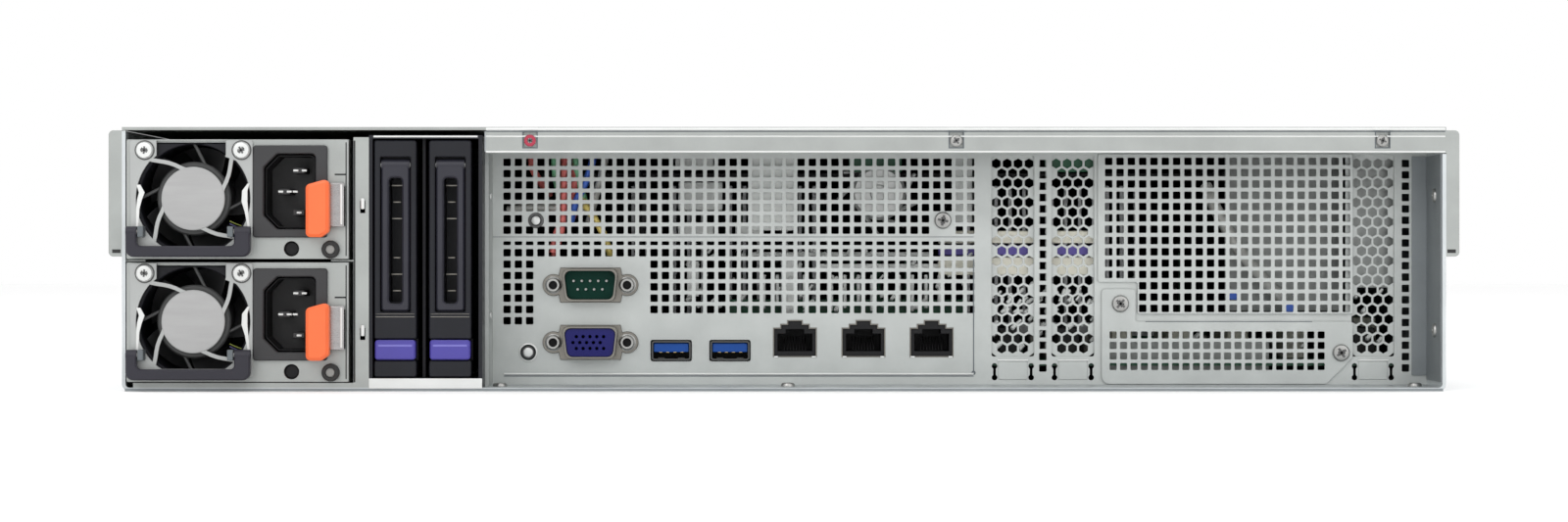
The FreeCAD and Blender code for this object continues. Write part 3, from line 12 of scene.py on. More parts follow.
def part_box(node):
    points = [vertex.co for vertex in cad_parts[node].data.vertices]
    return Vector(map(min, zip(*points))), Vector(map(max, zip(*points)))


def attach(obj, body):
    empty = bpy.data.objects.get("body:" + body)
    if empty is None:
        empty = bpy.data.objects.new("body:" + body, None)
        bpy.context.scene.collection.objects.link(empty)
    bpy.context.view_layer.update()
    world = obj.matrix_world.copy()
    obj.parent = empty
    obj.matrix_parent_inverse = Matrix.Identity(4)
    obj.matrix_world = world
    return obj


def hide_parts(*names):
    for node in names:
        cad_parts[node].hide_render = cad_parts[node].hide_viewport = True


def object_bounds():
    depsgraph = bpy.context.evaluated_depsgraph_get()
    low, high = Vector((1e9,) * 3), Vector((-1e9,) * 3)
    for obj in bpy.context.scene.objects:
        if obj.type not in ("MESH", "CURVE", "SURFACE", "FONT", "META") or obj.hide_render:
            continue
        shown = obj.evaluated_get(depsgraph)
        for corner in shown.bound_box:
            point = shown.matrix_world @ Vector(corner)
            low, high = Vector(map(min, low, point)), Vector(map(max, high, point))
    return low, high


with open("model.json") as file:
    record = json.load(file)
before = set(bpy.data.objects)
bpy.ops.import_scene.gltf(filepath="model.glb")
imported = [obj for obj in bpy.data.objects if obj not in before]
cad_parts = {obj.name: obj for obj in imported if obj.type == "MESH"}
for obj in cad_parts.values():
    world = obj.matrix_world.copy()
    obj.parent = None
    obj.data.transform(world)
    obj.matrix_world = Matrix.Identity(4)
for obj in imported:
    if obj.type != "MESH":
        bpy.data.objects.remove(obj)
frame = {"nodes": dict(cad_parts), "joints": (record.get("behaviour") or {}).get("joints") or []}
cad_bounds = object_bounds()

MM = 0.001
SIDES = (-1, 1)
random.seed(7)


# ---- places taken from the frame ------------------------------------------------------------------
def span(node):
    """Lowest and highest corners of a CAD node in millimetres."""
    low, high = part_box(node)
    return low / MM, high / MM


PIVOTS = {j["name"]: Vector(j["pos_m"]) / MM for j in frame["joints"] if j["type"] == "hinge"}
REAR = span("chassis_pan")[0].y
WALL = span("chassis_pan")[1].x
SHEET = 1.2
PANEL_FACE = span("slot_covers")[0].y - SHEET
PANEL_BACK = PANEL_FACE + SHEET
BOARD_TOP = span("usb_ports")[0].z


# ---- outlines -------------------------------------------------------------------------------------
def arc_points(cx, cz, radius, start, end, steps):
    angles = [math.radians(start + (end - start) * i / steps) for i in range(steps + 1)]
    return [(cx + radius * math.cos(a), cz + radius * math.sin(a)) for a in angles]


def ring(cx, cz, radius, steps=24):
    return arc_points(cx, cz, radius, 0, 360 - 360 / steps, steps - 1)


def rect(x0, x1, z0, z1, radius=0.0, steps=3):
    """Rectangle, with rounded corners where a radius is given."""
    if not radius:
        return [(x0, z0), (x1, z0), (x1, z1), (x0, z1)]
    corners = ((x0 + radius, z0 + radius, 180), (x1 - radius, z0 + radius, 270),
               (x1 - radius, z1 - radius, 0), (x0 + radius, z1 - radius, 90))
    points = []
    for cx, cz, start in corners:
        points += arc_points(cx, cz, radius, start, start + 90, steps)
    return points


def outline(low, high, inset=0.0, radius=0.0):
    """Rectangle of a node's rear side, drawn in by an inset."""
    return rect(low.x + inset, high.x - inset, low.z + inset, high.z - inset, radius)


def rounded(points, steps=4):
    """Polygon whose corners (x, z, radius) are rounded."""
    out = []
    for i, (x, z, radius) in enumerate(points):
        if not radius:
            out.append((x, z))
            continue
        here = Vector((x, z))
        back = (Vector(points[i - 1][:2]) - here).normalized()
        ahead = (Vector(points[(i + 1) % len(points)][:2]) - here).normalized()
        half = back.angle(ahead) / 2
        reach = radius / math.tan(half)
        middle = here + (back + ahead).normalized() * (radius / math.sin(half))
        first = here + back * reach - middle
        turn = first.angle_signed(here + ahead * reach - middle)
        for k in range(steps + 1):
            spoke = first.copy()
            spoke.rotate(Matrix.Rotation(-turn * k / steps, 2))
            out.append(tuple(middle + spoke))
    return out


def hexagon(cx, cz, flats):
    radius = flats / math.sqrt(3)
    return [(cx + radius * math.sin(math.radians(60 * i)), cz + radius * math.cos(math.radians(60 * i)))
            for i in range(6)]


def band(points, width):
    """Loop around a line of (x, z) points, half the width to each side."""
    left = []
    right = []
    for i, here in enumerate(points):
        before = Vector(points[max(0, i - 1)])
        after = Vector(points[min(len(points) - 1, i + 1)])
        normal = (after - before).normalized().orthogonal() * width / 2
        left.append(tuple(Vector(here) + normal))
        right.append(tuple(Vector(here) - normal))
    return left + right[::-1]


def scaled(loop, cx, cz, wide, high):
    """Loop drawn in about a centre."""
    return [(cx + (x - cx) * wide, cz + (z - cz) * high) for x, z in loop]


def spread_out(middle, count, pitch):
    """Places of a row of equal steps about its middle."""
    return [middle + (k - (count - 1) / 2) * pitch for k in range(count)]


# ---- mesh helpers ---------------------------------------------------------------------------------
SHARP = math.radians(35)


def keep(name, mesh, material, body, replaces=(), slot=None, bevel=0.0):
    """Puts a mesh in the scene as a piece that rides on a body."""
    obj = bpy.data.objects.new(name, mesh)
    bpy.context.scene.collection.objects.link(obj)
    mesh.materials.append(material)
    mesh.polygons.foreach_set("use_smooth", [True] * len(mesh.polygons))
    mesh.set_sharp_from_angle(angle=SHARP)
    if bevel:
        modifier = obj.modifiers.new("edges", "BEVEL")
        modifier.width = bevel * MM
        modifier.segments = 2
        modifier.limit_method = "ANGLE"
        modifier.angle_limit = SHARP
    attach(obj, body)
    if replaces:
        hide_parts(*replaces)
    return obj


def from_bmesh(name, bm, *args, **options):
    bmesh.ops.recalc_face_normals(bm, faces=bm.faces)
    mesh = bpy.data.meshes.new(name)
    bm.to_mesh(mesh)
    bm.free()
    return keep(name, mesh, *args, **options)


def sheet_mesh(name, outer, holes, y, thickness, edge=0.06):
    """Flat sheet in the plane at y, with holes and softened edges, thickened towards +Y."""
    curve = bpy.data.curves.new(name, "CURVE")
    curve.dimensions = "2D"
    curve.fill_mode = "BOTH"
    curve.extrude = (thickness / 2 - edge) * MM
    curve.bevel_depth = edge * MM
    curve.bevel_resolution = 0
    curve.offset = -edge * MM
    for loop in [outer] + holes:
        spline = curve.splines.new("POLY")
        spline.points.add(len(loop) - 1)
        for point, (x, z) in zip(spline.points, loop):
            point.co = (x * MM, z * MM, 0, 1)
        spline.use_cyclic_u = True
    obj = bpy.data.objects.new(name, curve)
    bpy.context.scene.collection.objects.link(obj)
    graph = bpy.context.evaluated_depsgraph_get()
    mesh = bpy.data.meshes.new_from_object(obj.evaluated_get(graph))
    bpy.data.objects.remove(obj)
    place = Matrix.Translation((0, (y + thickness / 2) * MM, 0)) @ Matrix.Rotation(math.pi / 2, 4, "X")
    mesh.transform(place)
    return mesh


def sheet(name, outer, holes, y, thickness, *args, edge=0.06, **options):
    return keep(name, sheet_mesh(name, outer, holes, y, thickness, edge), *args, **options)


def add_box(bm, x0, x1, y0, y1, z0, z1):
    size = Vector((x1 - x0, y1 - y0, z1 - z0)) * MM
    middle = Vector((x0 + x1, y0 + y1, z0 + z1)) / 2 * MM
    bmesh.ops.create_cube(bm, size=1.0, matrix=Matrix.Translation(middle) @ Matrix.Diagonal(size.to_4d()))


def add_rod(bm, start, end, radius, segments=24):
    """Closed rod between two points."""
    a = Vector(start) * MM
    b = Vector(end) * MM
    turn = (b - a).to_track_quat("Z", "Y").to_matrix().to_4x4()
    bmesh.ops.create_cone(bm, cap_ends=True, segments=segments, radius1=radius * MM, radius2=radius * MM,
                          depth=(b - a).length, matrix=Matrix.Translation((a + b) / 2) @ turn)


def add_prism(bm, loop, y0, y1):
    """Closed prism of an (x, z) loop between two depths."""
    near = [bm.verts.new((x * MM, y0 * MM, z * MM)) for x, z in loop]
    far = [bm.verts.new((x * MM, y1 * MM, z * MM)) for x, z in loop]
    bm.faces.new(near)
    bm.faces.new(list(reversed(far)))
    for i in range(len(loop)):
        j = (i + 1) % len(loop)
        bm.faces.new((near[i], far[i], far[j], near[j]))


def add_lathe(bm, cx, cz, seat, profile, segments=32):
    """Surface turned about an axis along Y from (height, radius) pairs; heights rise from the seat to -Y.

    It is closed where the radius is 0.
    """
    rings = []
    for height, radius in profile:
        y = (seat - height) * MM
        if radius == 0:
            rings.append([bm.verts.new((cx * MM, y, cz * MM))])
            continue
        rings.append([bm.verts.new(((cx + radius * math.cos(a)) * MM, y, (cz + radius * math.sin(a)) * MM))
                      for a in (2 * math.pi * i / segments for i in range(segments))])
    for first, second in zip(rings, rings[1:]):
        for i in range(segments):
            j = (i + 1) % segments
            if len(first) == 1:
                bm.faces.new((first[0], second[i], second[j]))
            elif len(second) == 1:
                bm.faces.new((first[i], second[0], first[j]))
            else:
                bm.faces.new((first[i], second[i], second[j], first[j]))


def add_screw(bm, x, y, z, radius, height, turn=20.0):
    """Pan head facing -Y with a round recess and its lobes; y is the seat."""
    add_lathe(bm, x, z, y, [(0, 0), (0, radius), (height * 0.45, radius), (height - 0.15, radius * 0.86),
                            (height, radius * 0.66), (height, radius * 0.42), (height * 0.5, radius * 0.3),
                            (height * 0.5, 0)], 28)
    for cx, cz in arc_points(x, z, radius * 0.36, turn, turn + 300, 5):
        add_rod(bm, (cx, y - height - 0.02, cz), (cx, y - height * 0.6, cz), radius * 0.09, 8)


def add_cross(bm, x, y, z, radius, turn=20.0):
    """Two crossing bars that mark a head's recess; y is their outer face."""
    here = Vector((x, z))
    for k in range(2):
        a = math.radians(turn + 90 * k)
        along = Vector((math.cos(a), math.sin(a))) * radius * 0.62
        across = Vector((-math.sin(a), math.cos(a))) * radius * 0.14
        corners = (along + across, across - along, -along - across, along - across)
        add_prism(bm, [tuple(here + corner) for corner in corners], y, y + 0.25)


def piece(name, material, body, replaces=(), slot=None, bevel=0.0, plates=(), **solids):
    """One piece made of several solids, each given as the arguments of the helper that adds it."""
    makers = {"boxes": add_box, "rods": add_rod, "prisms": add_prism, "lathes": add_lathe,
              "screws": add_screw, "crosses": add_cross}
    bm = bmesh.new()
    for plate in plates:
        bm.from_mesh(sheet_mesh(name, *plate))
    for kind, places in solids.items():
        for place in places:
            makers[kind](bm, *place)
    return from_bmesh(name, bm, material, body, replaces, slot, bevel)


def tube(name, points, radius, material, body):
    """Smooth wire through control points."""
    curve = bpy.data.curves.new(name, "CURVE")
    curve.dimensions = "3D"
    curve.bevel_depth = radius * MM
    curve.bevel_resolution = 2
    curve.use_fill_caps = True
    spline = curve.splines.new("NURBS")
    spline.points.add(len(points) - 1)
    for point, at in zip(spline.points, points):
        point.co = (*(Vector(at) * MM), 1)
    spline.order_u = 3
    spline.use_endpoint_u = True
    spline.resolution_u = 6
    curve.materials.append(material)
    obj = bpy.data.objects.new(name, curve)
    bpy.context.scene.collection.objects.link(obj)
    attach(obj, body)


# ---- materials ------------------------------------------------------------------------------------
GLOSS_SPREAD = 0.08
RELIEF_DEPTH = 0.0004


def srgb(red, green, blue):
    """Linear colour of an 8-bit screen colour."""
    def linear(value):
        value /= 255.0
        return value / 12.92 if value <= 0.04045 else ((value + 0.055) / 1.055) ** 2.4
    return tuple(linear(v) for v in (red, green, blue))


def surface(name, colour, roughness, metallic=0.0, spread=0.08, grain=900.0, bump=0.03, stretch=(1, 1, 1),
            mottle=60.0, specular=0.5):
    """Principled surface with fine grain bump, mottled colour and uneven gloss."""
    material = bpy.data.materials.new(name)
    material.use_nodes = True
    nodes = material.node_tree.nodes
    links = material.node_tree.links
    shader = nodes["Principled BSDF"]
    shader.inputs["Metallic"].default_value = metallic
    shader.inputs["Specular IOR Level"].default_value = specular
    coordinates = nodes.new("ShaderNodeTexCoord")
    mapping = nodes.new("ShaderNodeMapping")
    mapping.inputs["Scale"].default_value = stretch
    links.new(coordinates.outputs["Object"], mapping.inputs["Vector"])

    def noise(scale, detail):
        node = nodes.new("ShaderNodeTexNoise")
        node.inputs["Scale"].default_value = scale
        node.inputs["Detail"].default_value = detail
        links.new(mapping.outputs["Vector"], node.inputs["Vector"])
        return node

    broad = noise(mottle, 4)
    fine = noise(grain, 3)
    ramp = nodes.new("ShaderNodeValToRGB")
    dark, light = ramp.color_ramp.elements
    dark.position = 0.3
    light.position = 0.7
    dark.color = (*[c * (1 - spread) for c in colour], 1)
    light.color = (*[min(1, c * (1 + spread)) for c in colour], 1)
    links.new(broad.outputs["Fac"], ramp.inputs["Fac"])
    links.new(ramp.outputs["Color"], shader.inputs["Base Color"])
    gloss = nodes.new("ShaderNodeMapRange")
    gloss.inputs["To Min"].default_value = max(0.02, roughness - GLOSS_SPREAD)
    gloss.inputs["To Max"].default_value = min(1.0, roughness + GLOSS_SPREAD)
    links.new(fine.outputs["Fac"], gloss.inputs["Value"])
    links.new(gloss.outputs["Result"], shader.inputs["Roughness"])
    relief = nodes.new("ShaderNodeBump")
    relief.inputs["Strength"].default_value = bump
    relief.inputs["Distance"].default_value = RELIEF_DEPTH
    links.new(fine.outputs["Fac"], relief.inputs["Height"])
    links.new(relief.outputs["Normal"], shader.inputs["Normal"])
    return material


def plastic(name, colour, roughness, spread=0.05, grain=2400, bump=0.05, specular=0.5):
    """Moulded plastic in an 8-bit screen colour."""
    return surface(name, srgb(*colour), roughness, 0.0, spread, grain, bump, specular=specular)


# sheet metal and steel
ZINC = surface("zinc_sheet", (0.33, 0.345, 0.335), 0.44, 0.7, 0.06, 1400, 0.05, mottle=90)
PANEL = surface("panel_sheet", (0.43, 0.45, 0.44), 0.46, 0.6, 0.06, 1400, 0.05, mottle=90)
PAN = surface("pan_sheet", (0.5, 0.53, 0.54), 0.42, 0.6, 0.06, 1400, 0.05, mottle=90)
# Darker zinc as painted shade on the right wall's liner and along the pan's bottom edge.
WALL_SHADE = surface("wall_painted_shade", (0.22, 0.24, 0.25), 0.45, 0.6, 0.08, 1300, 0.05)
ZINC_BRIGHT = surface("zinc_bright", (0.36, 0.37, 0.365), 0.4, 0.65, 0.05, 1600, 0.04)
# Darker copy of the zinc: painted shade in recesses and under folds, also the colour of the dark seams and
# hinge lugs.
ZINC_DARK = surface("zinc_dark_and_shade", (0.12, 0.135, 0.145), 0.5, 0.6, 0.08, 1300, 0.05)
# Pale copy of the zinc: painted highlight on folds, beads, bent edges and the cage's top edge, also the
# colour of small bright parts.
ZINC_PALE_AND_HIGHLIGHT = surface("zinc_pale_and_highlight", (0.62, 0.63, 0.62), 0.35, 0.4, 0.05, 1600, 0.04)
DISC = surface("guard_disc", (0.34, 0.34, 0.34), 0.55, 0.35, 0.05, 1200, 0.05, stretch=(1, 1, 8))
STEEL = surface("screw_steel", (0.34, 0.34, 0.33), 0.34, 0.9, 0.1, 2500, 0.05)
SPRING = surface("spring_steel", (0.34, 0.33, 0.33), 0.28, 1.0, 0.06, stretch=(1, 1, 12))
# Near-black, laid on the heads as painted shade in the screws' cross recesses.
SCREW_RECESS_SHADE = surface("screw_recess_shade", (0.09, 0.09, 0.09), 0.5, 0.3, 0.1, 2500)
GOLD = surface("contact_gold", (0.83, 0.6, 0.24), 0.28, 1.0, 0.06, 3000)
NICKEL = surface("nickel_shell", (0.2, 0.19, 0.17), 0.32, 0.95, 0.07, 2200, 0.04)
SHELL_DARK = surface("usb_shell", (0.08, 0.08, 0.08), 0.35, 0.7, 0.07, 2200, 0.04)
ALUMINIUM = surface("fin_aluminium", (0.62, 0.63, 0.64), 0.34, 0.9, 0.05, 1800, stretch=(1, 6, 1))
DRIVE = surface("drive_case", (0.42, 0.43, 0.44), 0.35, 0.85, 0.07, 1600)

# black and grey plastics, rubber and paint
BLACK = surface("black_plastic", (0.008, 0.008, 0.009), 0.5, 0.0, 0.2, 2200, 0.06, specular=0.2)
FAN_BLACK = surface("fan_plastic", (0.009, 0.009, 0.012), 0.45, 0.0, 0.15, 1800, 0.04, specular=0.2)
FAN_SEAT = surface("fan_seat", (0.035, 0.036, 0.036), 0.42, 0.0, 0.12, 1800, 0.04)
HUB = surface("fan_hub", (0.05, 0.05, 0.052), 0.38, 0.0, 0.12, 1800, 0.04)
CHIP = surface("chip_case", (0.02, 0.02, 0.021), 0.55, 0.0, 0.15, 3000)
PALE = surface("pale_housing", (0.93, 0.95, 0.93), 0.5, 0.0, 0.04, 2600)
DUCT = surface("duct_film", (0.03, 0.03, 0.033), 0.4, 0.0, 0.12, 1500, 0.05)
EAR = surface("ear_paint", (0.02, 0.02, 0.022), 0.42, 0.0, 0.12, 2800, 0.12)
RUBBER = surface("bumper_rubber", (0.015, 0.015, 0.015), 0.7, 0.0, 0.2, 2400, 0.1)
LENS = surface("lens_grey", (0.22, 0.22, 0.21), 0.3, spread=0.05)

# coloured plastics
SLATE = plastic("slate_plastic", (36, 35, 44), 0.5, 0.08, 2600, 0.08, 0.35)
INLET = plastic("inlet_plastic", (38, 38, 40), 0.48, 0.1, 2600, 0.08)
CARRIER = plastic("carrier_plastic", (22, 23, 29), 0.4, 0.12, 2400, 0.08, 0.25)
# Lighter than the carrier's plastic as painted highlight on the lever.
LEVER = plastic("lever_highlit_plastic", (38, 38, 47), 0.38, 0.1, 2400, 0.08, 0.35)
ORANGE = plastic("orange_plastic", (228, 100, 48), 0.42)
VIOLET = plastic("violet_plastic", (62, 54, 140), 0.4)
# Paler violet for a painted highlight on the button's bevel.
VIOLET_PALE = plastic("violet_highlight", (104, 100, 175), 0.42)
TEAL = plastic("teal_insert", (0, 50, 40), 0.5, 0.06, 2600, specular=0.12)
VIDEO_BLUE = plastic("video_insert", (16, 16, 92), 0.45, 0.06, 2600, specular=0.25)
USB_BLUE = plastic("usb_tongue", (8, 66, 142), 0.42, grain=2600, specular=0.25)
IVORY = plastic("ivory_connector", (252, 248, 232), 0.45, grain=2600, bump=0.03)
PURPLE = plastic("purple_connector", (98, 84, 170), 0.42, 0.06, 2600, 0.03)
RED_LOCK = plastic("thread_lock", (150, 34, 58), 0.45, 0.1, 2200, 0.03)
BOARD = surface("board_mask", srgb(28, 92, 62), 0.38, 0.0, 0.18, 700, 0.12, mottle=250)
FAN_LEADS = {"yellow": surface("lead_olive", srgb(120, 128, 50), 0.45, spread=0.05),
             "green": surface("lead_slate", srgb(70, 66, 110), 0.45, spread=0.05)}
WIRE_LEVELS = {"red": (248, 130, 125), "green": (150, 225, 175), "blue": (80, 125, 235),
               "yellow": (248, 225, 130), "white": (215, 215, 210), "black": (28, 28, 30)}
WIRES = {colour: surface("wire_" + colour, srgb(*levels), 0.45, spread=0.1 if colour == "black" else 0.04)
         for colour, levels in WIRE_LEVELS.items()}


def paint(material, *nodes):
    """Gives CAD nodes a material in place of their own."""
    for name in nodes:
        mesh = frame["nodes"][name].data
        mesh.materials.clear()
        mesh.materials.append(material)


# ---- screws and cover -----------------------------------------------------------------------------
def islands(node):
    """Lowest and highest corners, in millimetres, of the separate solids in one CAD node."""
    bm = bmesh.new()
    bm.from_mesh(node.data)
    bmesh.ops.remove_doubles(bm, verts=bm.verts, dist=1e-5)
    seen = set()
    boxes = []
    for vert in bm.verts:
        if vert in seen:
            continue
        stack = [vert]
        island = []
        seen.add(vert)
        while stack:
            one = stack.pop()
            island.append(one.co.copy())
            for edge in one.link_edges:
                other = edge.other_vert(one)
                if other not in seen:
                    seen.add(other)
                    stack.append(other)
        boxes.append([[pick(c[k] for c in island) / MM for k in range(3)] for pick in (min, max)])
    bm.free()
    return boxes


def chassis_screws():
    """Cross-recessed heads in place of the CAD's plain ones, each along its own thin direction."""
    quarter = -math.pi / 2
    turns = (Matrix.Rotation(quarter, 4, "Z"), Matrix.Identity(4), Matrix.Rotation(quarter, 4, "X"))
    bm = bmesh.new()
    crosses = []
    for low, high in islands(frame["nodes"]["screws"]):
        size = [h - l for l, h in zip(low, high)]
        axis = size.index(min(size))
        seat = [(l + h) / 2 for l, h in zip(low, high)]
        if axis == 1:
            crosses.append((seat[0], low[1] - 0.03, seat[2], max(size) / 2, 25 + seat[0]))
        seat[axis] = low[axis] if axis == 2 else high[axis]
        others = set(bm.verts)
        add_screw(bm, 0, 0, 0, max(size) / 2, size[axis])
        bmesh.ops.transform(bm, matrix=Matrix.Translation(Vector(seat) * MM) @ turns[axis],
                            verts=[vert for vert in bm.verts if vert not in others])
    # Dark crosses: painted shade in the heads' recesses.
    piece("screw_shade_crosses", SCREW_RECESS_SHADE, "chassis", crosses=crosses)
    from_bmesh("screw_heads", bm, STEEL, "chassis", ["screws"], slot="screw_steel")


COVER_SCREWS = (-84.0, 57.0, 198.0)


def cover_parts():
    """Captive screws in the cover's recesses, with painted shade along the recess edges, and beads of
    painted highlight and a line of painted shade along the folds of its rear flange.
    """
    top = span("top_cover")[1].z
    z = top - 4.5
    radius = 2.05
    places = [(x, 35 * k) for k, x in enumerate(COVER_SCREWS)]
    piece("cover_screw_heads", STEEL, "cover",
          screws=[(x, REAR + 0.3, z, radius, 0.9, turn) for x, turn in places])
    # Dark crosses: painted shade in the heads' recesses.
    piece("cover_screw_shade_crosses", SCREW_RECESS_SHADE, "cover",
          crosses=[(x, REAR - 0.63, z, radius, turn) for x, turn in places])
    piece("cover_lock_ring", RED_LOCK, "cover",
          lathes=[(COVER_SCREWS[0], z, REAR, [(0.4, 1.95), (0.66, 1.7), (0.68, 0.9), (0.6, 0.85)], 28)])
    edges = []
    for x in COVER_SCREWS:
        left_half = [(x - 2.6, top - 7.1), (x - 2.6, top - 1.6), (x - 2.25, top - 1.6),
                     (x - 2.25, top - 6.75)]
        recess = left_half + [(2 * x - px, pz) for px, pz in left_half[::-1]]
        for loop in (recess, rect(x - 3.4, x + 3.4, top - 1.7, top - 1.2)):
            edges.append((loop, [], REAR - 0.06, 0.5, 0.03))
    # Thin dark outlines: painted shade inside the cover's screw recesses.
    piece("cover_recess_shade", ZINC_DARK, "cover", plates=edges)
    left = span("rear_panel")[0].x + SHEET
    right = WALL - 0.3

    def fold(depth, drop, thick, segments):
        return (left, REAR + depth, top - drop), (right, REAR + depth, top - drop), thick, segments

    # Pale rods: beads on the rolled flange, coloured as painted highlight.
    piece("cover_fold_highlights", ZINC_PALE_AND_HIGHLIGHT, "cover",
          rods=[fold(0.1, 0.7, 0.5, 12), fold(0.1, 3.1, 0.28, 12), fold(0.1, 8.2, 0.34, 12)])
    piece("cover_fold_shade", ZINC_DARK, "cover", rods=[fold(0.05, 1.45, 0.22, 8)])
    piece("pan_edge_shade", WALL_SHADE, "chassis",
          boxes=[(-WALL + 1.0, WALL - 1.0, REAR - 0.04, REAR + 0.2, 0.04, 0.95)])


# ---- rear panel -----------------------------------------------------------------------------------
MESH_PITCH = 3.83
MESH_HOLE = 2.5
MESH_LEFT = -93.8
MESH_TOP = 76.6
MESH_COLUMNS = 42
UPPER_ROWS = 9
HALF_ROW = 7
LOWER_TOP = 42.05
LOWER_ROWS = 6
BOSS = (-84.0, 56.9)
PANEL_SCREW = (53.8, 56.9)
SLOT_PITCH = 20.32
SLOT_XS = [77.5 + index * SLOT_PITCH for index in range(7)]
COVERED = (0, 1, 6)
COVERED_XS = [SLOT_XS[index] for index in COVERED]
SERIAL = (-65.5, 35.0)
VIDEO = (-65.5, 15.6)
DSUB_SCREW = 12.5
USB_XS = (-38.2, -18.3)
USB_Z = 12.8
LAN_XS = (3.7, 26.9, 50.0)
ID_KEY = (-86.6, 12.2)


def square(cx, cz, size=MESH_HOLE):
    half = size / 2
    return rect(cx - half, cx + half, cz - half, cz + half, 0.25, 1)


def dsub_loop(cx, cz, grow=0.0):
    """Rounded D of a serial or video connector."""
    half_top = 9.5 + grow
    half_bottom = half_top - 1.2
    half_high = 5.5 + grow
    return rounded([(cx - half_bottom, cz - half_high, 2.0), (cx + half_bottom, cz - half_high, 2.0),
                    (cx + half_top, cz + half_high, 2.0), (cx - half_top, cz + half_high, 2.0)])


def dumbbell(x, z0, z1, radius=0.95, half=0.45):
    """Slot with round ends wider than its neck."""
    a = math.degrees(math.asin(half / radius))
    return (arc_points(x, z0 + radius, radius, 90 + a, 450 - a, 12)
            + arc_points(x, z1 - radius, radius, 270 + a, 630 - a, 12))


def lan_window(x, grow=0.0):
    """Stepped window of a network jack."""
    low = BOARD_TOP + 1.6 - grow
    wide, middle, narrow = 7.15 + grow, 4.75 + grow, 2.4 + grow
    one, two, three = low + 9.5 + 2 * grow, low + 10.8 + 2 * grow, low + 12.1 + 2 * grow
    right = [(wide, low), (wide, one), (middle, one), (middle, two), (narrow, two), (narrow, three)]
    return [(x + reach, z) for reach, z in right] + [(x - reach, z) for reach, z in right[::-1]]


def mesh_holes():
    """Square perforation, left out at the boss, at the screw and behind the connectors."""
    holes = []
    for column in range(MESH_COLUMNS):
        x = MESH_LEFT + column * MESH_PITCH
        for row in range(UPPER_ROWS):
            z = MESH_TOP - row * MESH_PITCH
            if row == HALF_ROW:
                holes.append(rect(x - MESH_HOLE / 2, x + MESH_HOLE / 2, z - MESH_HOLE / 2, z, 0.2, 1))
            elif math.dist((x, z), BOSS) > 3.6 and math.dist((x, z), PANEL_SCREW) > 4.4:
                holes.append(square(x, z))
        for row in range(LOWER_ROWS):
            if column < 3 or (column >= 13 and row < 5):
                holes.append(square(x, LOWER_TOP - row * MESH_PITCH))
    return holes


def port_holes():
    holes = []
    for x, z in (SERIAL, VIDEO):
        holes.append(dsub_loop(x, z, 0.3))
        holes += [ring(x + side * DSUB_SCREW, z, 2.9, 20) for side in SIDES]
    holes += [rect(x - 6.95, x + 6.95, USB_Z - 3.6, USB_Z + 3.6, 0.6, 2) for x in USB_XS]
    holes += [lan_window(x, 0.25) for x in LAN_XS]
    return holes + [ring(*ID_KEY, 2.7)]


def slot_holes():
    """Openings under the slot covers, the riser blank and the mezzanine cover, with the columns between."""
    holes = []
    for x in COVERED_XS:
        holes.append(rect(x - 7.2, x + 7.2, 10.8, 78.8, 0.6, 2))
        holes += [dumbbell(x + side * 6.2, 2.7, 8.5) for side in SIDES]
    for x in (SLOT_XS[0] + SLOT_PITCH / 2, SLOT_XS[6] + SLOT_PITCH / 2 + 0.9):
        holes += [square(x, MESH_TOP - 0.4 - row * 3.85) for row in range(19)]
    low, high = span("riser_blank")
    holes.append([(low.x + 0.6, 37.0), (low.x + 14.0, 37.0), (low.x + 14.0, low.z + 0.5),
                  (high.x - 0.6, low.z + 0.5), (high.x - 0.6, high.z - 0.8), (low.x + 0.6, high.z - 0.8)])
    low, high = span("mezz_cover")
    return holes + [rect(low.x + 1.2, high.x - 9, low.z + 3.0, low.z + 18.6, 0.5, 2)]


def rear_panel():
    low, high = span("rear_panel")
    piece("rear_panel_sheet", PANEL, "chassis", ["rear_panel"], "zinc_steel",
          plates=[(outline(low, high), mesh_holes() + port_holes() + slot_holes(), PANEL_FACE, SHEET)],
          boxes=[(low.x, low.x + SHEET, PANEL_FACE - 20, PANEL_FACE, low.z, 83.4)])


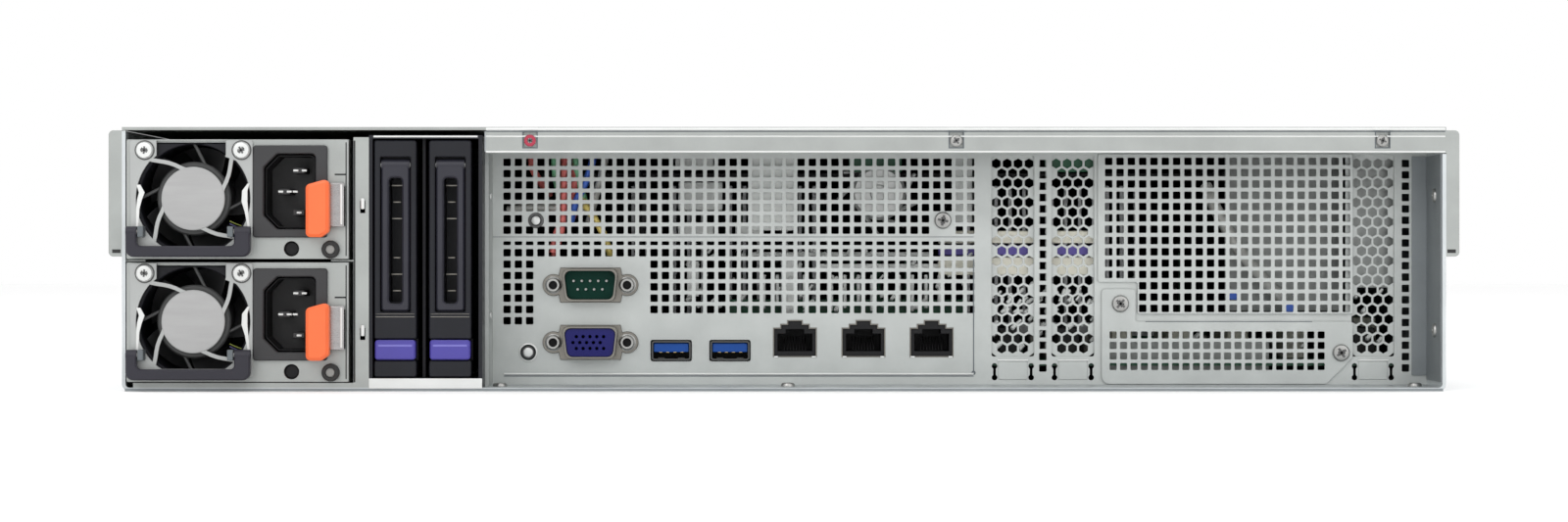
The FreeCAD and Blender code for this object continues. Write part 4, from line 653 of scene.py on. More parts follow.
def panel_trim():
    """Boss, seams, beads in painted highlight and pockets on the panel's face, and the right wall's liner in
    painted shade.
    """
    low, high = span("rear_panel")
    blank_y = span("riser_blank")[0].y
    face = PANEL_FACE
    left = low.x + 5.0
    seam = 64.2
    piece("panel_boss", SHELL_DARK, "chassis",
          lathes=[(*BOSS, face, [(0, 2.7), (0.5, 2.5), (0.6, 1.9), (0.3, 1.5), (0.02, 1.4)])])
    piece("panel_boss_stud", ZINC_PALE_AND_HIGHLIGHT, "chassis",
          lathes=[(*BOSS, face, [(0.2, 1.5), (0.45, 1.1), (0.45, 0)], 24)])
    piece("plate_seams", ZINC_DARK, "chassis",
          boxes=[(seam - 0.18, seam + 0.18, face - 0.12, face, 5.0, 43.8),
                 (left, seam, face - 0.12, face, 4.0, 4.35),
                 (low.x + SHEET, seam, face - 0.12, face, 51.2, 51.4),
                 (122.3, 178.7, blank_y - 0.1, blank_y, 22.5, 22.75)],
          rods=[((seam, face - 0.2, 5.3), (seam, face, 5.3), 0.7, 16)])
    # Pale rods: beads and wall rivets, coloured as painted highlight.
    piece("panel_bead_highlights", ZINC_PALE_AND_HIGHLIGHT, "chassis",
          rods=[((left, face - 0.1, 4.9), (seam, face - 0.1, 4.9), 0.38, 12)]
          + [((x - 5.2, face - 0.1, 9.5), (x + 5.2, face - 0.1, 9.5), 0.42, 12) for x in COVERED_XS]
          + [((low.x - 0.25, face - 12.0, z), (low.x + 1.6, face - 12.0, z), 1.1, 16) for z in (65.0, 25.0)])
    piece("cover_pockets", PANEL, "chassis",
          plates=[(rect(x - 4.9, x + 4.9, 3.0, 9.1, 0.5), [], face - 0.35, 0.4, 0.1) for x in COVERED_XS])
    # Strip beside the right wall and the wall's inner face, darker as painted shade.
    piece("right_wall_liner_shade", WALL_SHADE, "chassis",
          boxes=[(212.5, high.x, face - 0.5, face - 0.05, 4.4, 78.5),
                 (high.x - 0.35, high.x, REAR + 2.0, face - 0.5, 3.0, 78.5)])


def slot_covers():
    """Low-profile covers with hexagonal mesh and a narrow foot."""
    low, high = span("slot_covers")
    half = 9.2
    foot = 5.0
    for index, x in zip(COVERED, COVERED_XS):
        holes = []
        for row in range(20):
            z = 76.2 - row * 3.3
            steps = (-1, 0, 1) if row % 2 else (-1.5, -0.5, 0.5, 1.5)
            holes += [hexagon(x + step * 3.7, z, 2.95) for step in steps if z > 12.5]
        outer = rounded([(x - foot, low.z, 0.6), (x + foot, low.z, 0.6), (x + foot, 10.4, 0),
                         (x + half, 13.5, 0), (x + half, high.z, 0.6), (x - half, high.z, 0.6),
                         (x - half, 13.5, 0), (x - foot, 10.4, 0)])
        cover = sheet("slot_cover_%d" % (index + 1), outer, holes, PANEL_BACK, 0.86, PANEL, "chassis",
                      slot="zinc_steel")
        if index == 0:
            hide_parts("slot_covers")


def riser_blank():
    low, high = span("riser_blank")
    holes = [square(109.9 + column * MESH_PITCH, 76.9 - row * MESH_PITCH)
             for column in range(22) for row in range(14) if row < 11 or column > 2]
    outer = rounded([(low.x, 36.0, 0.8), (low.x + 13.4, 36.0, 0.8), (low.x + 13.4, low.z, 0.8),
                     (high.x, low.z, 0.8), (high.x, high.z, 0.8), (low.x, high.z, 0.8)])
    sheet("riser_blank_sheet", outer, holes, low.y, 1.0, PANEL, "chassis", ["riser_blank"],
          slot="zinc_steel")


def mezz_cover():
    low, high = span("mezz_cover")
    holes = [square(111.4 + column * 3.52, 18.1 - row * 3.56, 2.35)
             for column in range(21) for row in range(4)]
    outer = rounded([(low.x, low.z, 2.7), (high.x - 9, low.z, 1.0), (high.x, low.z + 9, 2.0),
                     (high.x, 22.7, 1.2), (low.x + 11.5, 22.7, 0.6), (low.x + 11.5, high.z, 1.2),
                     (low.x, high.z, 1.2)])
    sheet("mezz_cover_sheet", outer, holes, low.y, 1.0, PANEL, "chassis", ["mezz_cover"],
          slot="zinc_steel")


# ---- connectors -----------------------------------------------------------------------------------
def dsub_flange(x, z):
    """Flange outline: a body with a round ear at each side."""
    return ([(x - 10.2, z - 5.9), (x + 10.2, z - 5.9)] + arc_points(x + DSUB_SCREW, z, 3.7, -118, 118, 20)
            + [(x + 10.2, z + 5.9), (x - 10.2, z + 5.9)] + arc_points(x - DSUB_SCREW, z, 3.7, 62, 298, 20))


def dsub_connectors():
    """Serial connector with pins and video connector with wells, each between two threaded posts."""
    face = PANEL_FACE
    mouth = face - 5.6
    shells = []
    for x, z in (SERIAL, VIDEO):
        shells.append((dsub_loop(x, z), [dsub_loop(x, z, -0.7)], mouth, 6.8, 0.1))
        shells.append((dsub_flange(x, z), [dsub_loop(x, z, -0.1)], face - 0.9, 0.9, 0.15))
    posts = [(x + side * DSUB_SCREW, z, face) for x, z in (SERIAL, VIDEO) for side in SIDES]
    nut = [(0.9, 2.9), (1.5, 2.9), (1.7, 2.5), (3.4, 2.4), (4.6, 2.1), (4.6, 1.5), (2.0, 1.4)]
    piece("dsub_shells", NICKEL, "chassis", ["dsub_ports"], "bright_shell", plates=shells)
    piece("dsub_screws", STEEL, "chassis", lathes=[(*post, nut, 28) for post in posts])
    piece("dsub_screw_wells", BLACK, "chassis",
          lathes=[(*post, [(2.0, 1.45), (2.1, 0)], 20) for post in posts])
    sheet("serial_insert", dsub_loop(*SERIAL, -0.75), [], mouth + 4.0, 5.0, TEAL, "chassis", edge=0.1)
    x, z = VIDEO
    wells = [ring(place, z + row * 2.0, 0.55, 10) for row, shift in ((1, 0.0), (0, -1.15), (-1, 0.0))
             for place in spread_out(x + shift, 5, 2.3)]
    sheet("video_insert", dsub_loop(x, z, -0.75), wells, mouth + 0.9, 7.8, VIDEO_BLUE, "chassis", edge=0.1)
    x, z = SERIAL
    piece("serial_pins", STEEL, "chassis",
          rods=[((place, mouth + 0.9, z + row), (place, mouth + 5, z + row), 0.4, 10)
                for row, count in ((1.42, 5), (-1.42, 4)) for place in spread_out(x, count, 2.77)])
    piece("dsub_body", BLACK, "chassis", bevel=0.4,
          boxes=[(x - 15.4, x + 15.4, PANEL_BACK + 1.0, PANEL_BACK + 25, BOARD_TOP, z + 6.0)])


def usb_sockets():
    mouth = PANEL_FACE - 1.0
    piece("usb_shells", SHELL_DARK, "chassis", ["usb_ports"], "bright_shell",
          plates=[(rect(x - 6.65, x + 6.65, USB_Z - 3.3, USB_Z + 3.3, 0.9),
                   [rect(x - 6.05, x + 6.05, USB_Z - 2.7, USB_Z + 2.7, 0.4)], mouth, 17.8, 0.12)
                  for x in USB_XS],
          boxes=[(place - 1.1, place + 1.1, mouth + 2.0, mouth + 7.0, 9.75, 10.35)
                 for x in USB_XS for place in spread_out(x, 2, 6.8)])
    piece("usb_tongues", USB_BLUE, "chassis", bevel=0.15,
          prisms=[(rect(x - 5.9, x + 5.9, 12.3, 15.3, 0.2, 1), mouth + 0.9, mouth + 15) for x in USB_XS])
    piece("usb_backs", BLACK, "chassis",
          boxes=[(x - 6.0, x + 6.0, mouth + 12, mouth + 15, 10.1, 15.5) for x in USB_XS])
    piece("usb_contacts", GOLD, "chassis",
          boxes=[(place - 0.5, place + 0.5, mouth + 2.0, mouth + 11, 12.14, 12.3)
                 for x in USB_XS for place in spread_out(x, 4, 2.4)])


def lan_sockets():
    """Black jacks behind stepped windows, each window with a thin bright edge."""
    mouth = PANEL_FACE + 0.35
    low = BOARD_TOP
    floor = low + 3.4
    shoulder, top = floor + 5.9, floor + 7.4
    jacks = []
    for x in LAN_XS:
        socket = [(x - 5.9, floor), (x + 5.9, floor), (x + 5.9, shoulder), (x + 3.1, shoulder),
                  (x + 3.1, top), (x - 3.1, top), (x - 3.1, shoulder), (x - 5.9, shoulder)]
        jacks.append((lan_window(x, -0.16), [socket], mouth, 16.0, 0.1))
    piece("lan_jack_bodies", BLACK, "chassis", ["lan_jacks"], "bright_shell", plates=jacks,
          boxes=[(x - 7.4, x + 7.4, mouth + 16.0, mouth + 19.0, low, low + 13.0) for x in LAN_XS])
    piece("lan_window_edges", NICKEL, "chassis",
          plates=[(lan_window(x, 0.22), [lan_window(x, -0.12)], PANEL_FACE - 0.12, 1.5, 0.04)
                  for x in LAN_XS])
    piece("lan_contacts", CHIP, "chassis",
          rods=[((place, mouth + 4.0, floor + 0.25), (place, mouth + 13.0, floor + 4.6), 0.18, 8)
                for x in LAN_XS for place in spread_out(x, 8, 1.02)])
    piece("lan_spring_tabs", ZINC_PALE_AND_HIGHLIGHT, "chassis", bevel=0.1,
          boxes=[(place - 0.7, place + 0.7, PANEL_FACE - 0.3, PANEL_FACE + 0.3, low + 1.1, low + 1.75)
                 for x in LAN_XS for place in spread_out(x, 2, 12.8)])


def id_key():
    """Round key: a dark cap with a bright centre, in a bezel that stays on the panel."""
    low, high = span("id_button")
    long = high.y - low.y
    cap = [(-long, 0), (-long, 2.2), (-0.3, 2.25), (0, 2.0), (0, 1.75), (-0.3, 1.7)]
    piece("id_key_cap", HUB, "id_key", ["id_button"], "violet_plastic", lathes=[(*ID_KEY, low.y, cap)])
    piece("id_key_centre", ZINC_PALE_AND_HIGHLIGHT, "id_key",
          lathes=[(*ID_KEY, low.y, [(-0.4, 1.7), (0, 1.55), (0.1, 1.3), (0.1, 0)])])
    piece("id_key_bezel", ZINC_PALE_AND_HIGHLIGHT, "chassis",
          lathes=[(*ID_KEY, PANEL_FACE, [(0, 3.2), (0.5, 3.1), (0.6, 2.7), (0, 2.6)])])


# ---- power supplies -------------------------------------------------------------------------------
FAN_HALF = 19.3
CASE_WALL = 1.0
EAR_REACH = 16.0
LUG_HALF = 1.8


def psu(number):
    tag = "psu_%d" % number
    low, high = span(tag + "_case")
    fan = PIVOTS[tag + "_fan_spin"]
    psu_case(tag, low, high, fan)
    psu_face(tag, low, high)
    psu_hinge(tag)
    psu_guard(tag, fan)
    psu_fan(tag, fan)
    psu_inlet(tag)
    psu_handle(tag)
    psu_latch(tag)


def psu_case(tag, low, high, fan):
    """Sheet case with its openings, black walls behind them as painted shade and the edge card at the far
    end.
    """
    inlet_low, inlet_high = span(tag + "_inlet")
    latch_z = span(tag + "_latch")[0].z
    wall = CASE_WALL
    front = REAR + wall
    back = high.y - 8
    left, right, bottom, top = low.x, high.x, low.z, high.z
    holes = [
        rect(fan.x - FAN_HALF, fan.x + FAN_HALF, fan.z - 17.8, min(fan.z + 19.1, top - 0.5), 0.6),
        outline(inlet_low, inlet_high, 1.2, 0.5),
        ring(inlet_low.x + 12.6, bottom + 3.4, 2.5),
        rect(right - 2.3, right - 1.2, latch_z + 3.8, latch_z + 16.8),
    ]
    piece(tag + "_shell", ZINC, tag, [tag + "_case"], "zinc_steel",
          plates=[(outline(low, high, 0.0, 0.6), holes, REAR, wall, 0.1)],
          boxes=[(left, right, front, back, bottom, bottom + wall),
                 (left, right, front, back, top - wall, top),
                 (left, left + wall, front, back, bottom + wall, top - wall),
                 (right - wall, right, front, back, bottom + wall, top - wall),
                 (left, right, back - wall, back, bottom + wall, top - wall)])
    # Black boxes inside the case: painted shade behind the fan and inlet openings.
    piece(tag + "_painted_shade_walls", BLACK, tag,
          boxes=[(fan.x - FAN_HALF - 1, right - 2, REAR + 34, REAR + 36, bottom + 1.2, top - 1.2),
                 (inlet_low.x + 8, right - 1.2, REAR + 1.2, REAR + 20, bottom + 1.2, inlet_low.z - 0.5)])
    middle = (left + right) / 2
    z = (bottom + top) / 2
    piece(tag + "_edge_card", BOARD, tag, bevel=0.2,
          boxes=[(middle - 23, middle + 23, back, back + 8, z - 0.8, z + 0.8)])
    piece(tag + "_edge_contacts", GOLD, tag,
          boxes=[(x - 0.8, x + 0.8, back + 1.0, back + 7.0, z - 0.85, z + 0.85)
                 for x in spread_out(middle, 18, 2.4)])


def psu_face(tag, low, high):
    """Bumper, status lens and shadow lines on the supply's face."""
    latch_low, latch_high = span(tag + "_latch")
    bumper = (latch_low.x + 7.5, low.z + 3.15, REAR)
    lens = (span(tag + "_inlet")[0].x + 12.6, low.z + 3.4, REAR)
    piece(tag + "_bumper", RUBBER, tag,
          lathes=[(*bumper, [(0, 0), (0, 3.0), (1.8, 2.9), (2.1, 2.5), (2.1, 1.7), (1.7, 1.5), (1.7, 0)])])
    piece(tag + "_bumper_pin", LENS, tag, lathes=[(*bumper, [(1.7, 0), (1.7, 1.5), (1.95, 1.2), (1.95, 0)])])
    piece(tag + "_status_lens", BLACK, tag,
          lathes=[(*lens, [(-1.0, 2.45), (-0.4, 2.3), (-2.0, 1.6), (-2.0, 0)])])
    depths = (REAR - 0.06, REAR + 0.1)
    piece(tag + "_face_lines", BLACK, tag,
          boxes=[(high.x - 1.0, high.x - 0.65, *depths, low.z + 1.0, high.z - 1.0),
                 (high.x - 4.6, high.x - 0.8, *depths, latch_high.z + 0.9, latch_high.z + 1.4)])


def psu_hinge(tag):
    """Lugs and pins that carry the bail."""
    _, y, z = PIVOTS[tag + "_bail_swing"]
    low, high = span(tag + "_handle")
    piece(tag + "_lugs", ZINC_DARK, tag, bevel=0.3,
          boxes=[(left, left + 2.0, y - LUG_HALF, REAR, z - LUG_HALF, z + LUG_HALF)
                 for left in (low.x + 3.9, high.x - 7.5)])
    piece(tag + "_pins", STEEL, tag,
          rods=[((left, y, z), (right, y, z), 0.9)
                for left, right in ((low.x + 0.6, low.x + 4.0), (high.x - 5.6, high.x - 0.6))])


def psu_guard(tag, fan):
    """Stamped guard: disc, four swirled arms, screw ears, side bars, bottom bar and wavy bent edges in pale
    painted reflection.
    """
    y = REAR - 1.0
    x, z = fan.x, fan.z
    left, right = (corner.x for corner in span(tag + "_guard"))
    top, bottom = z + 19.3, z - 18.4
    reach = 18.9
    notch = z + 14.2
    arm = ((9.2, 1.6), (10.1, 3.9), (11.05, 5.9), (11.75, 7.9), (12.15, 9.8), (12.45, 11.8), (12.9, 14.2))
    stamps = [(ring(x, z, 10.5, 64), [], y, 1.0, 0.08)]
    for quarter in range(4):
        cos, sin = math.cos(math.radians(90 * quarter)), math.sin(math.radians(90 * quarter))
        points = [(x + px * cos - pz * sin, z + px * sin + pz * cos) for px, pz in arm]
        stamps.append((band(points, 1.35), [], y + 0.02, 0.98, 0.08))
    shoulder = math.degrees(math.asin(12.5 / reach))
    foot = math.degrees(math.asin(15.7 / reach))
    plate = rounded([(left, bottom, 0.3), (right, bottom, 0.3), (right, top, 0.8), (right - 8.9, top, 0.6),
                     (right - 8.9, notch, 1.2)])
    plate += arc_points(x, z, reach, shoulder, -foot, 24)
    plate += arc_points(x, z, reach, 180 + foot, 180 - shoulder, 24)
    plate += [(left + 8.9, notch), (left + 8.9, top), (left + 0.8, top), (left + 0.2, top - 0.2),
              (left, top - 0.8)]
    stamps.append((plate, [], y + 0.01, 0.99, 0.08))
    piece(tag + "_guard_plate", ZINC_BRIGHT, tag, [tag + "_guard"], "zinc_steel", plates=stamps)

    # Wavy pale strips along the side bars: bent edges coloured as painted reflection.
    left_reflection = ((4.6, 0.2, 1.3), (2.0, 1.0, 1.9), (-0.4, 0.4, 1.6), (-3.5, 0.1, 1.1), (-9.6, 0.0, 0.9))
    right_reflection = ((5.0, 0.2, 0.7), (2.6, 0.9, 1.8), (-1.0, 0.9, 2.0), (-4.6, 0.6, 1.2), (-9.6, 0.1, 0.8))
    tabs = []
    for side, bends in ((-1, left_reflection), (1, right_reflection)):
        rim = [(x + side * (reach - inward), z + height) for height, inward, width in bends]
        back = [(x + side * (reach - inward - width), z + height) for height, inward, width in bends]
        tabs.append((rim + back[::-1], [], y - 0.25, 0.5, 0.1))
    piece(tag + "_guard_reflections", ZINC_PALE_AND_HIGHLIGHT, tag, plates=tabs)
    sheet(tag + "_guard_disc", ring(x, z, 10.3, 64), [], y - 0.12, 0.3, DISC, tag, edge=0.1)

    ears = [(x + side * EAR_REACH, z + EAR_REACH, 12 + side * 18) for side in SIDES]
    piece(tag + "_guard_screws", ZINC_PALE_AND_HIGHLIGHT, tag,
          screws=[(cx, y, cz, 2.85, 1.6, turn) for cx, cz, turn in ears])
    piece(tag + "_guard_washers", SHELL_DARK, tag,
          lathes=[(cx, cz, y, [(0, 3.3), (0.25, 3.25), (0.3, 2.95), (0.05, 2.9)]) for cx, cz, turn in ears])
    # Dark crosses: painted shade in the heads' recesses.
    piece(tag + "_guard_screw_shade_crosses", SCREW_RECESS_SHADE, tag,
          crosses=[(cx, y - 1.63, cz, 2.0, turn) for cx, cz, turn in ears])


def psu_fan(tag, fan):
    """Fan frame with its motor seat on slanted struts, the impeller and two thin leads."""
    x, z = fan.x, fan.z
    low, high = span(tag + "_fan")
    y = low.y + 0.1
    struts = []
    for k in range(4):
        inner, outer = math.radians(72 + 90 * k), math.radians(90 + 90 * k)
        struts.append(((x + 11.6 * math.cos(inner), y + 1.6, z + 11.6 * math.sin(inner)),
                       (x + 18.2 * math.cos(outer), y + 1.6, z + 18.2 * math.sin(outer)), 0.6, 10))
    seat = [(-3.0, 0), (-3.0, 12.2), (-0.6, 12.2), (-0.1, 11.7), (-0.1, 0)]
    piece(tag + "_fan_seat", FAN_SEAT, tag, rods=struts, lathes=[(x, z, y, seat, 56)])
    outer = outline(low, high, 0.1, 1.6)
    piece(tag + "_fan_frame", FAN_BLACK, tag, [tag + "_fan"], "black_plastic",
          plates=[(outer, [ring(x, z, 18.0, 64)], y, high.y - y - 0.1, 0.3)])
    impeller(tag + "_impeller_blades", fan, tag + "_rotor", tag + "_impeller", 11.6, 17.4, 5, 34.0)
    for k, colour in enumerate(("yellow", "green")):
        drop = 0.9 * k
        points = [(x + 11.8, y + 0.4, z - 7.4 - drop), (x + 13.6, y + 0.3, z - 8.3 - drop),
                  (x + 16.6, y + 0.3, z - 9.3 - drop), (x + 18.0, y + 0.6, z - 9.6 - drop)]
        tube(tag + "_fan_lead_" + colour, points, 0.18, FAN_LEADS[colour], tag)


def impeller(name, pivot, rotor, body, hub, tip, count, sweep):
    """Hub and swept, twisted blades about an axis along Y, in place of a plain rotor."""
    x, z = pivot.x, pivot.z
    front, rear = (corner.y for corner in span(rotor))
    depth = rear - front
    steps = 6
    half_thick = 0.45
    bm = bmesh.new()
    add_lathe(bm, x, z, front, [(-0.6, 0), (-0.5, hub * 0.72), (0, hub * 0.78), (0, hub * 0.93), (-0.5, hub),
                                (-depth, hub), (-depth, 0)], 56)

    def blade_point(blade, i, j, offset):
        """Point at step i of the length and step j of the chord."""
        t = i / steps
        s = j / steps - 0.5
        radius = hub - 0.4 + (tip - hub + 0.4) * t
        angle = math.radians(360 / count * (blade + s * 0.78) + sweep * t * 0.35)
        y = (front + rear) / 2 + s * depth * 0.8 + 0.4 * depth * (0.25 - s * s) + offset
        return (x + radius * math.cos(angle)) * MM, y * MM, (z + radius * math.sin(angle)) * MM

    for blade in range(count):
        near, far = ([[bm.verts.new(blade_point(blade, i, j, offset)) for j in range(steps + 1)]
                      for i in range(steps + 1)] for offset in (-half_thick, half_thick))
        for i in range(steps):
            for j in range(steps):
                bm.faces.new((near[i][j], near[i + 1][j], near[i + 1][j + 1], near[i][j + 1]))
                bm.faces.new((far[i][j], far[i][j + 1], far[i + 1][j + 1], far[i + 1][j]))
            bm.faces.new((near[i][0], far[i][0], far[i + 1][0], near[i + 1][0]))
            bm.faces.new((near[i][-1], near[i + 1][-1], far[i + 1][-1], far[i][-1]))
            bm.faces.new((near[0][i], near[0][i + 1], far[0][i + 1], far[0][i]))
            bm.faces.new((near[-1][i], far[-1][i], far[-1][i + 1], near[-1][i + 1]))
    from_bmesh(name, bm, HUB, body, [rotor], slot="black_plastic")


def psu_inlet(tag):
    """Mains inlet: a housing with a bevelled mouth, its liner and three contacts."""
    low, high = span(tag + "_inlet")
    middle = (low.z + high.z) / 2
    x0 = low.x + 3.5
    x1 = x0 + 17.2
    cx = (x0 + x1) / 2
    mouth = rounded([(x0, middle - 8.0, 1.2), (x0 + 4.5, middle - 12.5, 1.2), (x1, middle - 12.5, 1.5),
                     (x1, middle + 12.5, 1.5), (x0 + 4.5, middle + 12.5, 1.2), (x0, middle + 8.0, 1.2)])
    piece(tag + "_inlet_body", INLET, tag, [tag + "_inlet"], "black_plastic",
          plates=[(outline(low, high, 0.0, 1.0), [mouth], low.y, 1.6, 0.35),
                  (outline(low, high, 1.6, 1.0), [mouth], low.y + 1.6, 17.5, 0.1)],
          boxes=[(low.x + 1.7, high.x - 1.7, low.y + 19.0, low.y + 22.0, low.z + 1.7, high.z - 1.7)])
    piece(tag + "_inlet_liner", BLACK, tag,
          plates=[(scaled(mouth, cx, middle, 0.955, 0.965), [scaled(mouth, cx, middle, 0.91, 0.93)],
                   low.y + 3.0, 15.0, 0.1)])
    contacts = []
    for step, shift in ((-1, 2.6), (0, -2.2), (1, 2.6)):
        x, z = cx + shift, middle + step * 7.0
        contacts.append((x - 2.0, x + 2.0, low.y + 4.2, low.y + 19.0, z - 1.0, z + 1.0))
    piece(tag + "_inlet_contacts", CHIP, tag, bevel=0.35, boxes=contacts)
    tips = []
    for step, starts in ((-1, (1.9,)), (0, (-4.2, -1.4, 0.6)), (1, (0.8, 3.6))):
        z = middle + step * 7.0
        tips += [(cx + start, cx + start + 1.7, low.y + 3.9, low.y + 4.6, z - 0.35, z + 0.35)
                 for start in starts]
    piece(tag + "_inlet_contact_tips", ZINC_PALE_AND_HIGHLIGHT, tag, bevel=0.12, boxes=tips)


def psu_handle(tag):
    """Bail: a U of two unequal arms, turned round at the pins."""
    low, high = span(tag + "_handle")
    _, y, z = PIVOTS[tag + "_bail_swing"]
    end = high.z - LUG_HALF
    left, right = low.x + 3.6, high.x - 5.2
    loop = rounded([(low.x, low.z, 2.6), (high.x, low.z, 2.6), (high.x, end, 0), (right, end, 0),
                    (right, low.z + 3.6, 1.4), (left, low.z + 3.6, 1.4), (left, end, 0), (low.x, end, 0)], 6)
    piece(tag + "_bail_bar", SLATE, tag + "_bail", [tag + "_handle"], "slate_plastic",
          plates=[(loop, [], low.y, 3.6, 0.5)],
          rods=[((x0 + 0.02, y, z), (x1 - 0.02, y, z), 1.78, 32)
                for x0, x1 in ((low.x, left), (right, high.x))])


def psu_latch(tag):
    """Orange release tab with its grip, and the bright spring strip that moves with it."""
    body = tag + "_release"
    low, high = span(tag + "_latch")
    x0 = low.x
    x1 = low.x + 7.6
    y0 = low.y
    y1 = REAR - 1.8
    loop = rounded([(x0, low.z, 1.6), (x1 - 2.6, low.z, 1.2), (x1, low.z + 1.8, 1.2),
                    (x1, high.z - 0.3, 1.6), (x0, high.z - 2.4, 1.6)], 5)
    piece(tag + "_latch_tab", ORANGE, body, [tag + "_latch"], "orange_plastic",
          plates=[(loop, [], y0, y1 - y0, 1.0)])
    piece(tag + "_latch_grip", ORANGE, body, bevel=0.15,
          boxes=[(x0, x0 + 0.35, y0 + 1.6, y1 - 1.2, z - 0.35, z + 0.35)
                 for z in (low.z + 7.0 + 2.0 * k for k in range(4))])
    piece(tag + "_latch_spring", SPRING, body, bevel=0.3,
          boxes=[(x1 - 0.2, high.x, REAR - 2.8, REAR - 1.9, low.z + 3.4, high.z - 1.6)])
    piece(tag + "_latch_glint", ZINC_PALE_AND_HIGHLIGHT, body, bevel=0.1,
          boxes=[(high.x - 1.3, high.x - 0.6, REAR - 2.95, REAR - 2.7, low.z + 4.2, high.z - 2.2)])


# ---- rear drive trays -----------------------------------------------------------------------------
def rear_tray(number):
    tag = "rear_tray_%d" % number
    carrier, lever, button = ("rear_%s_%d" % (part, number) for part in ("carrier", "lever", "button"))
    low, high = span(carrier)
    x = (low.x + high.x) / 2
    tray_carrier(tag, carrier, x, span(lever), span(button))
    tray_lever(tag, lever, x)
    tray_button(tag, button)


def tray_carrier(tag, carrier, x, lever_span, button_span):
    """Front with its slotted channel, two rails, the drive, and thin bright lines and glints of painted
    highlight.
    """
    low, high = span(carrier)
    lever_low, lever_high = lever_span
    under, over = button_span[0].z - 0.3, button_span[1].z + 0.3
    face = span("rear_drive_cage")[0].y
    opening = rect(x - 5.0, x + 5.0, lever_low.z - 0.3, lever_high.z + 0.6, 0.4)
    slot = rect(x - 2.2, x + 2.2, lever_low.z + 3, lever_low.z + 44, 0.6)
    piece(tag + "_front", CARRIER, tag, [carrier], "dark_carrier",
          plates=[(rect(low.x, high.x, over, high.z, 0.8), [opening], face, 5.6, 0.35),
                  (rect(low.x + 0.1, high.x - 0.1, over, high.z - 0.1, 0.6), [slot], face + 5.6, 8.2, 0.1),
                  (rect(low.x, high.x, low.z, under, 0.8), [], face, 13.8, 0.35)],
          boxes=[(low.x, high.x, face + 8.0, face + 13.8, under, over),
                 (x - 4.6, x + 4.6, face + 14.4, face + 15.2, lever_low.z, lever_high.z)])
    piece(tag + "_rails", ZINC, tag, bevel=0.2,
          boxes=[(low.x + 1, high.x - 1, face + 14, high.y, z, z + 0.9) for z in (low.z, low.z + 70.75)])
    piece(tag + "_drive", DRIVE, tag, bevel=0.6,
          boxes=[(x - 4.75, x + 4.75, face + 17.8, high.y, low.z + 0.9, low.z + 70.75)])
    # Thin nickel lines below the lever and glints in the slot: painted highlights.
    lines = [(low.x + 0.5, high.x - 0.5, face - 0.15, face + 0.5, lever_low.z - drop, lever_low.z - rise)
             for drop, rise in ((2.0, 1.7), (1.0, 0.8))]
    glints = [(x - reach, x + reach, face + 6.4, face + 7.4, z, z + 0.5)
              for z, reach in ((33.0, 1.4), (38.5, 1.9), (44.0, 1.2), (57.0, 1.7), (62.5, 1.3), (68.0, 1.9))]
    piece(tag + "_trim", NICKEL, tag, bevel=0.1, boxes=lines + glints)


def tray_lever(tag, node, x):
    """Pin on the tray, and the lever with its long window that swings on it."""
    low, high = span(node)
    _, y, z = PIVOTS[tag + "_lever_swing"]
    piece(tag + "_pin", STEEL, tag, rods=[((x - 5.2, y, z), (x + 5.2, y, z), 1.0)])
    window = rect(x - 2.25, x + 2.25, low.z + 2.5, low.z + 44.3, 1.4, 5)
    # The lever's lighter plastic is painted highlight.
    piece(tag + "_lever_bar", LEVER, tag + "_lever", [node], "dark_carrier",
          plates=[(rect(low.x, high.x, low.z, z, 1.2), [window], low.y, 4.0, 0.55)],
          rods=[((low.x + 0.02, y, z), (high.x - 0.02, y, z), 1.98, 32)])


def tray_button(tag, node):
    low, high = span(node)
    piece(tag + "_key", VIOLET, tag + "_button", [node], "violet_plastic",
          plates=[(outline(low, high, 0.0, 0.9), [], low.y, 6.8, 0.45)])
    # Pale violet strip: painted highlight on the button's bevel.
    piece(tag + "_key_highlight", VIOLET_PALE, tag + "_button", bevel=0.1,
          boxes=[(low.x + 1.0, high.x - 1.0, low.y - 0.05, low.y + 0.3, high.z - 2.2, high.z - 1.5)])


# ---- inside ---------------------------------------------------------------------------------------
def memory_chips():
    """Boards at the CAD modules' places, with nine chips on each side."""
    low, high = span("memory_modules")
    xs = sorted({round(v.co.x / MM, 2) for v in frame["nodes"]["memory_modules"].data.vertices})
    middles = [(a + b) / 2 for a, b in zip(xs[::2], xs[1::2])]
    piece("memory_boards", BOARD, "chassis", ["memory_modules"], "board_green",
          boxes=[(x - 0.65, x + 0.65, low.y, high.y, low.z, high.z) for x in middles])
    piece("memory_chips", CHIP, "chassis", bevel=0.15,
          boxes=[(place - 0.6, place + 0.6, y, y + 9.5, low.z + 9, low.z + 22)
                 for x in middles for place in spread_out(x, 2, 2.0)
                 for y in (low.y + 10 + k * 13.2 for k in range(9))])


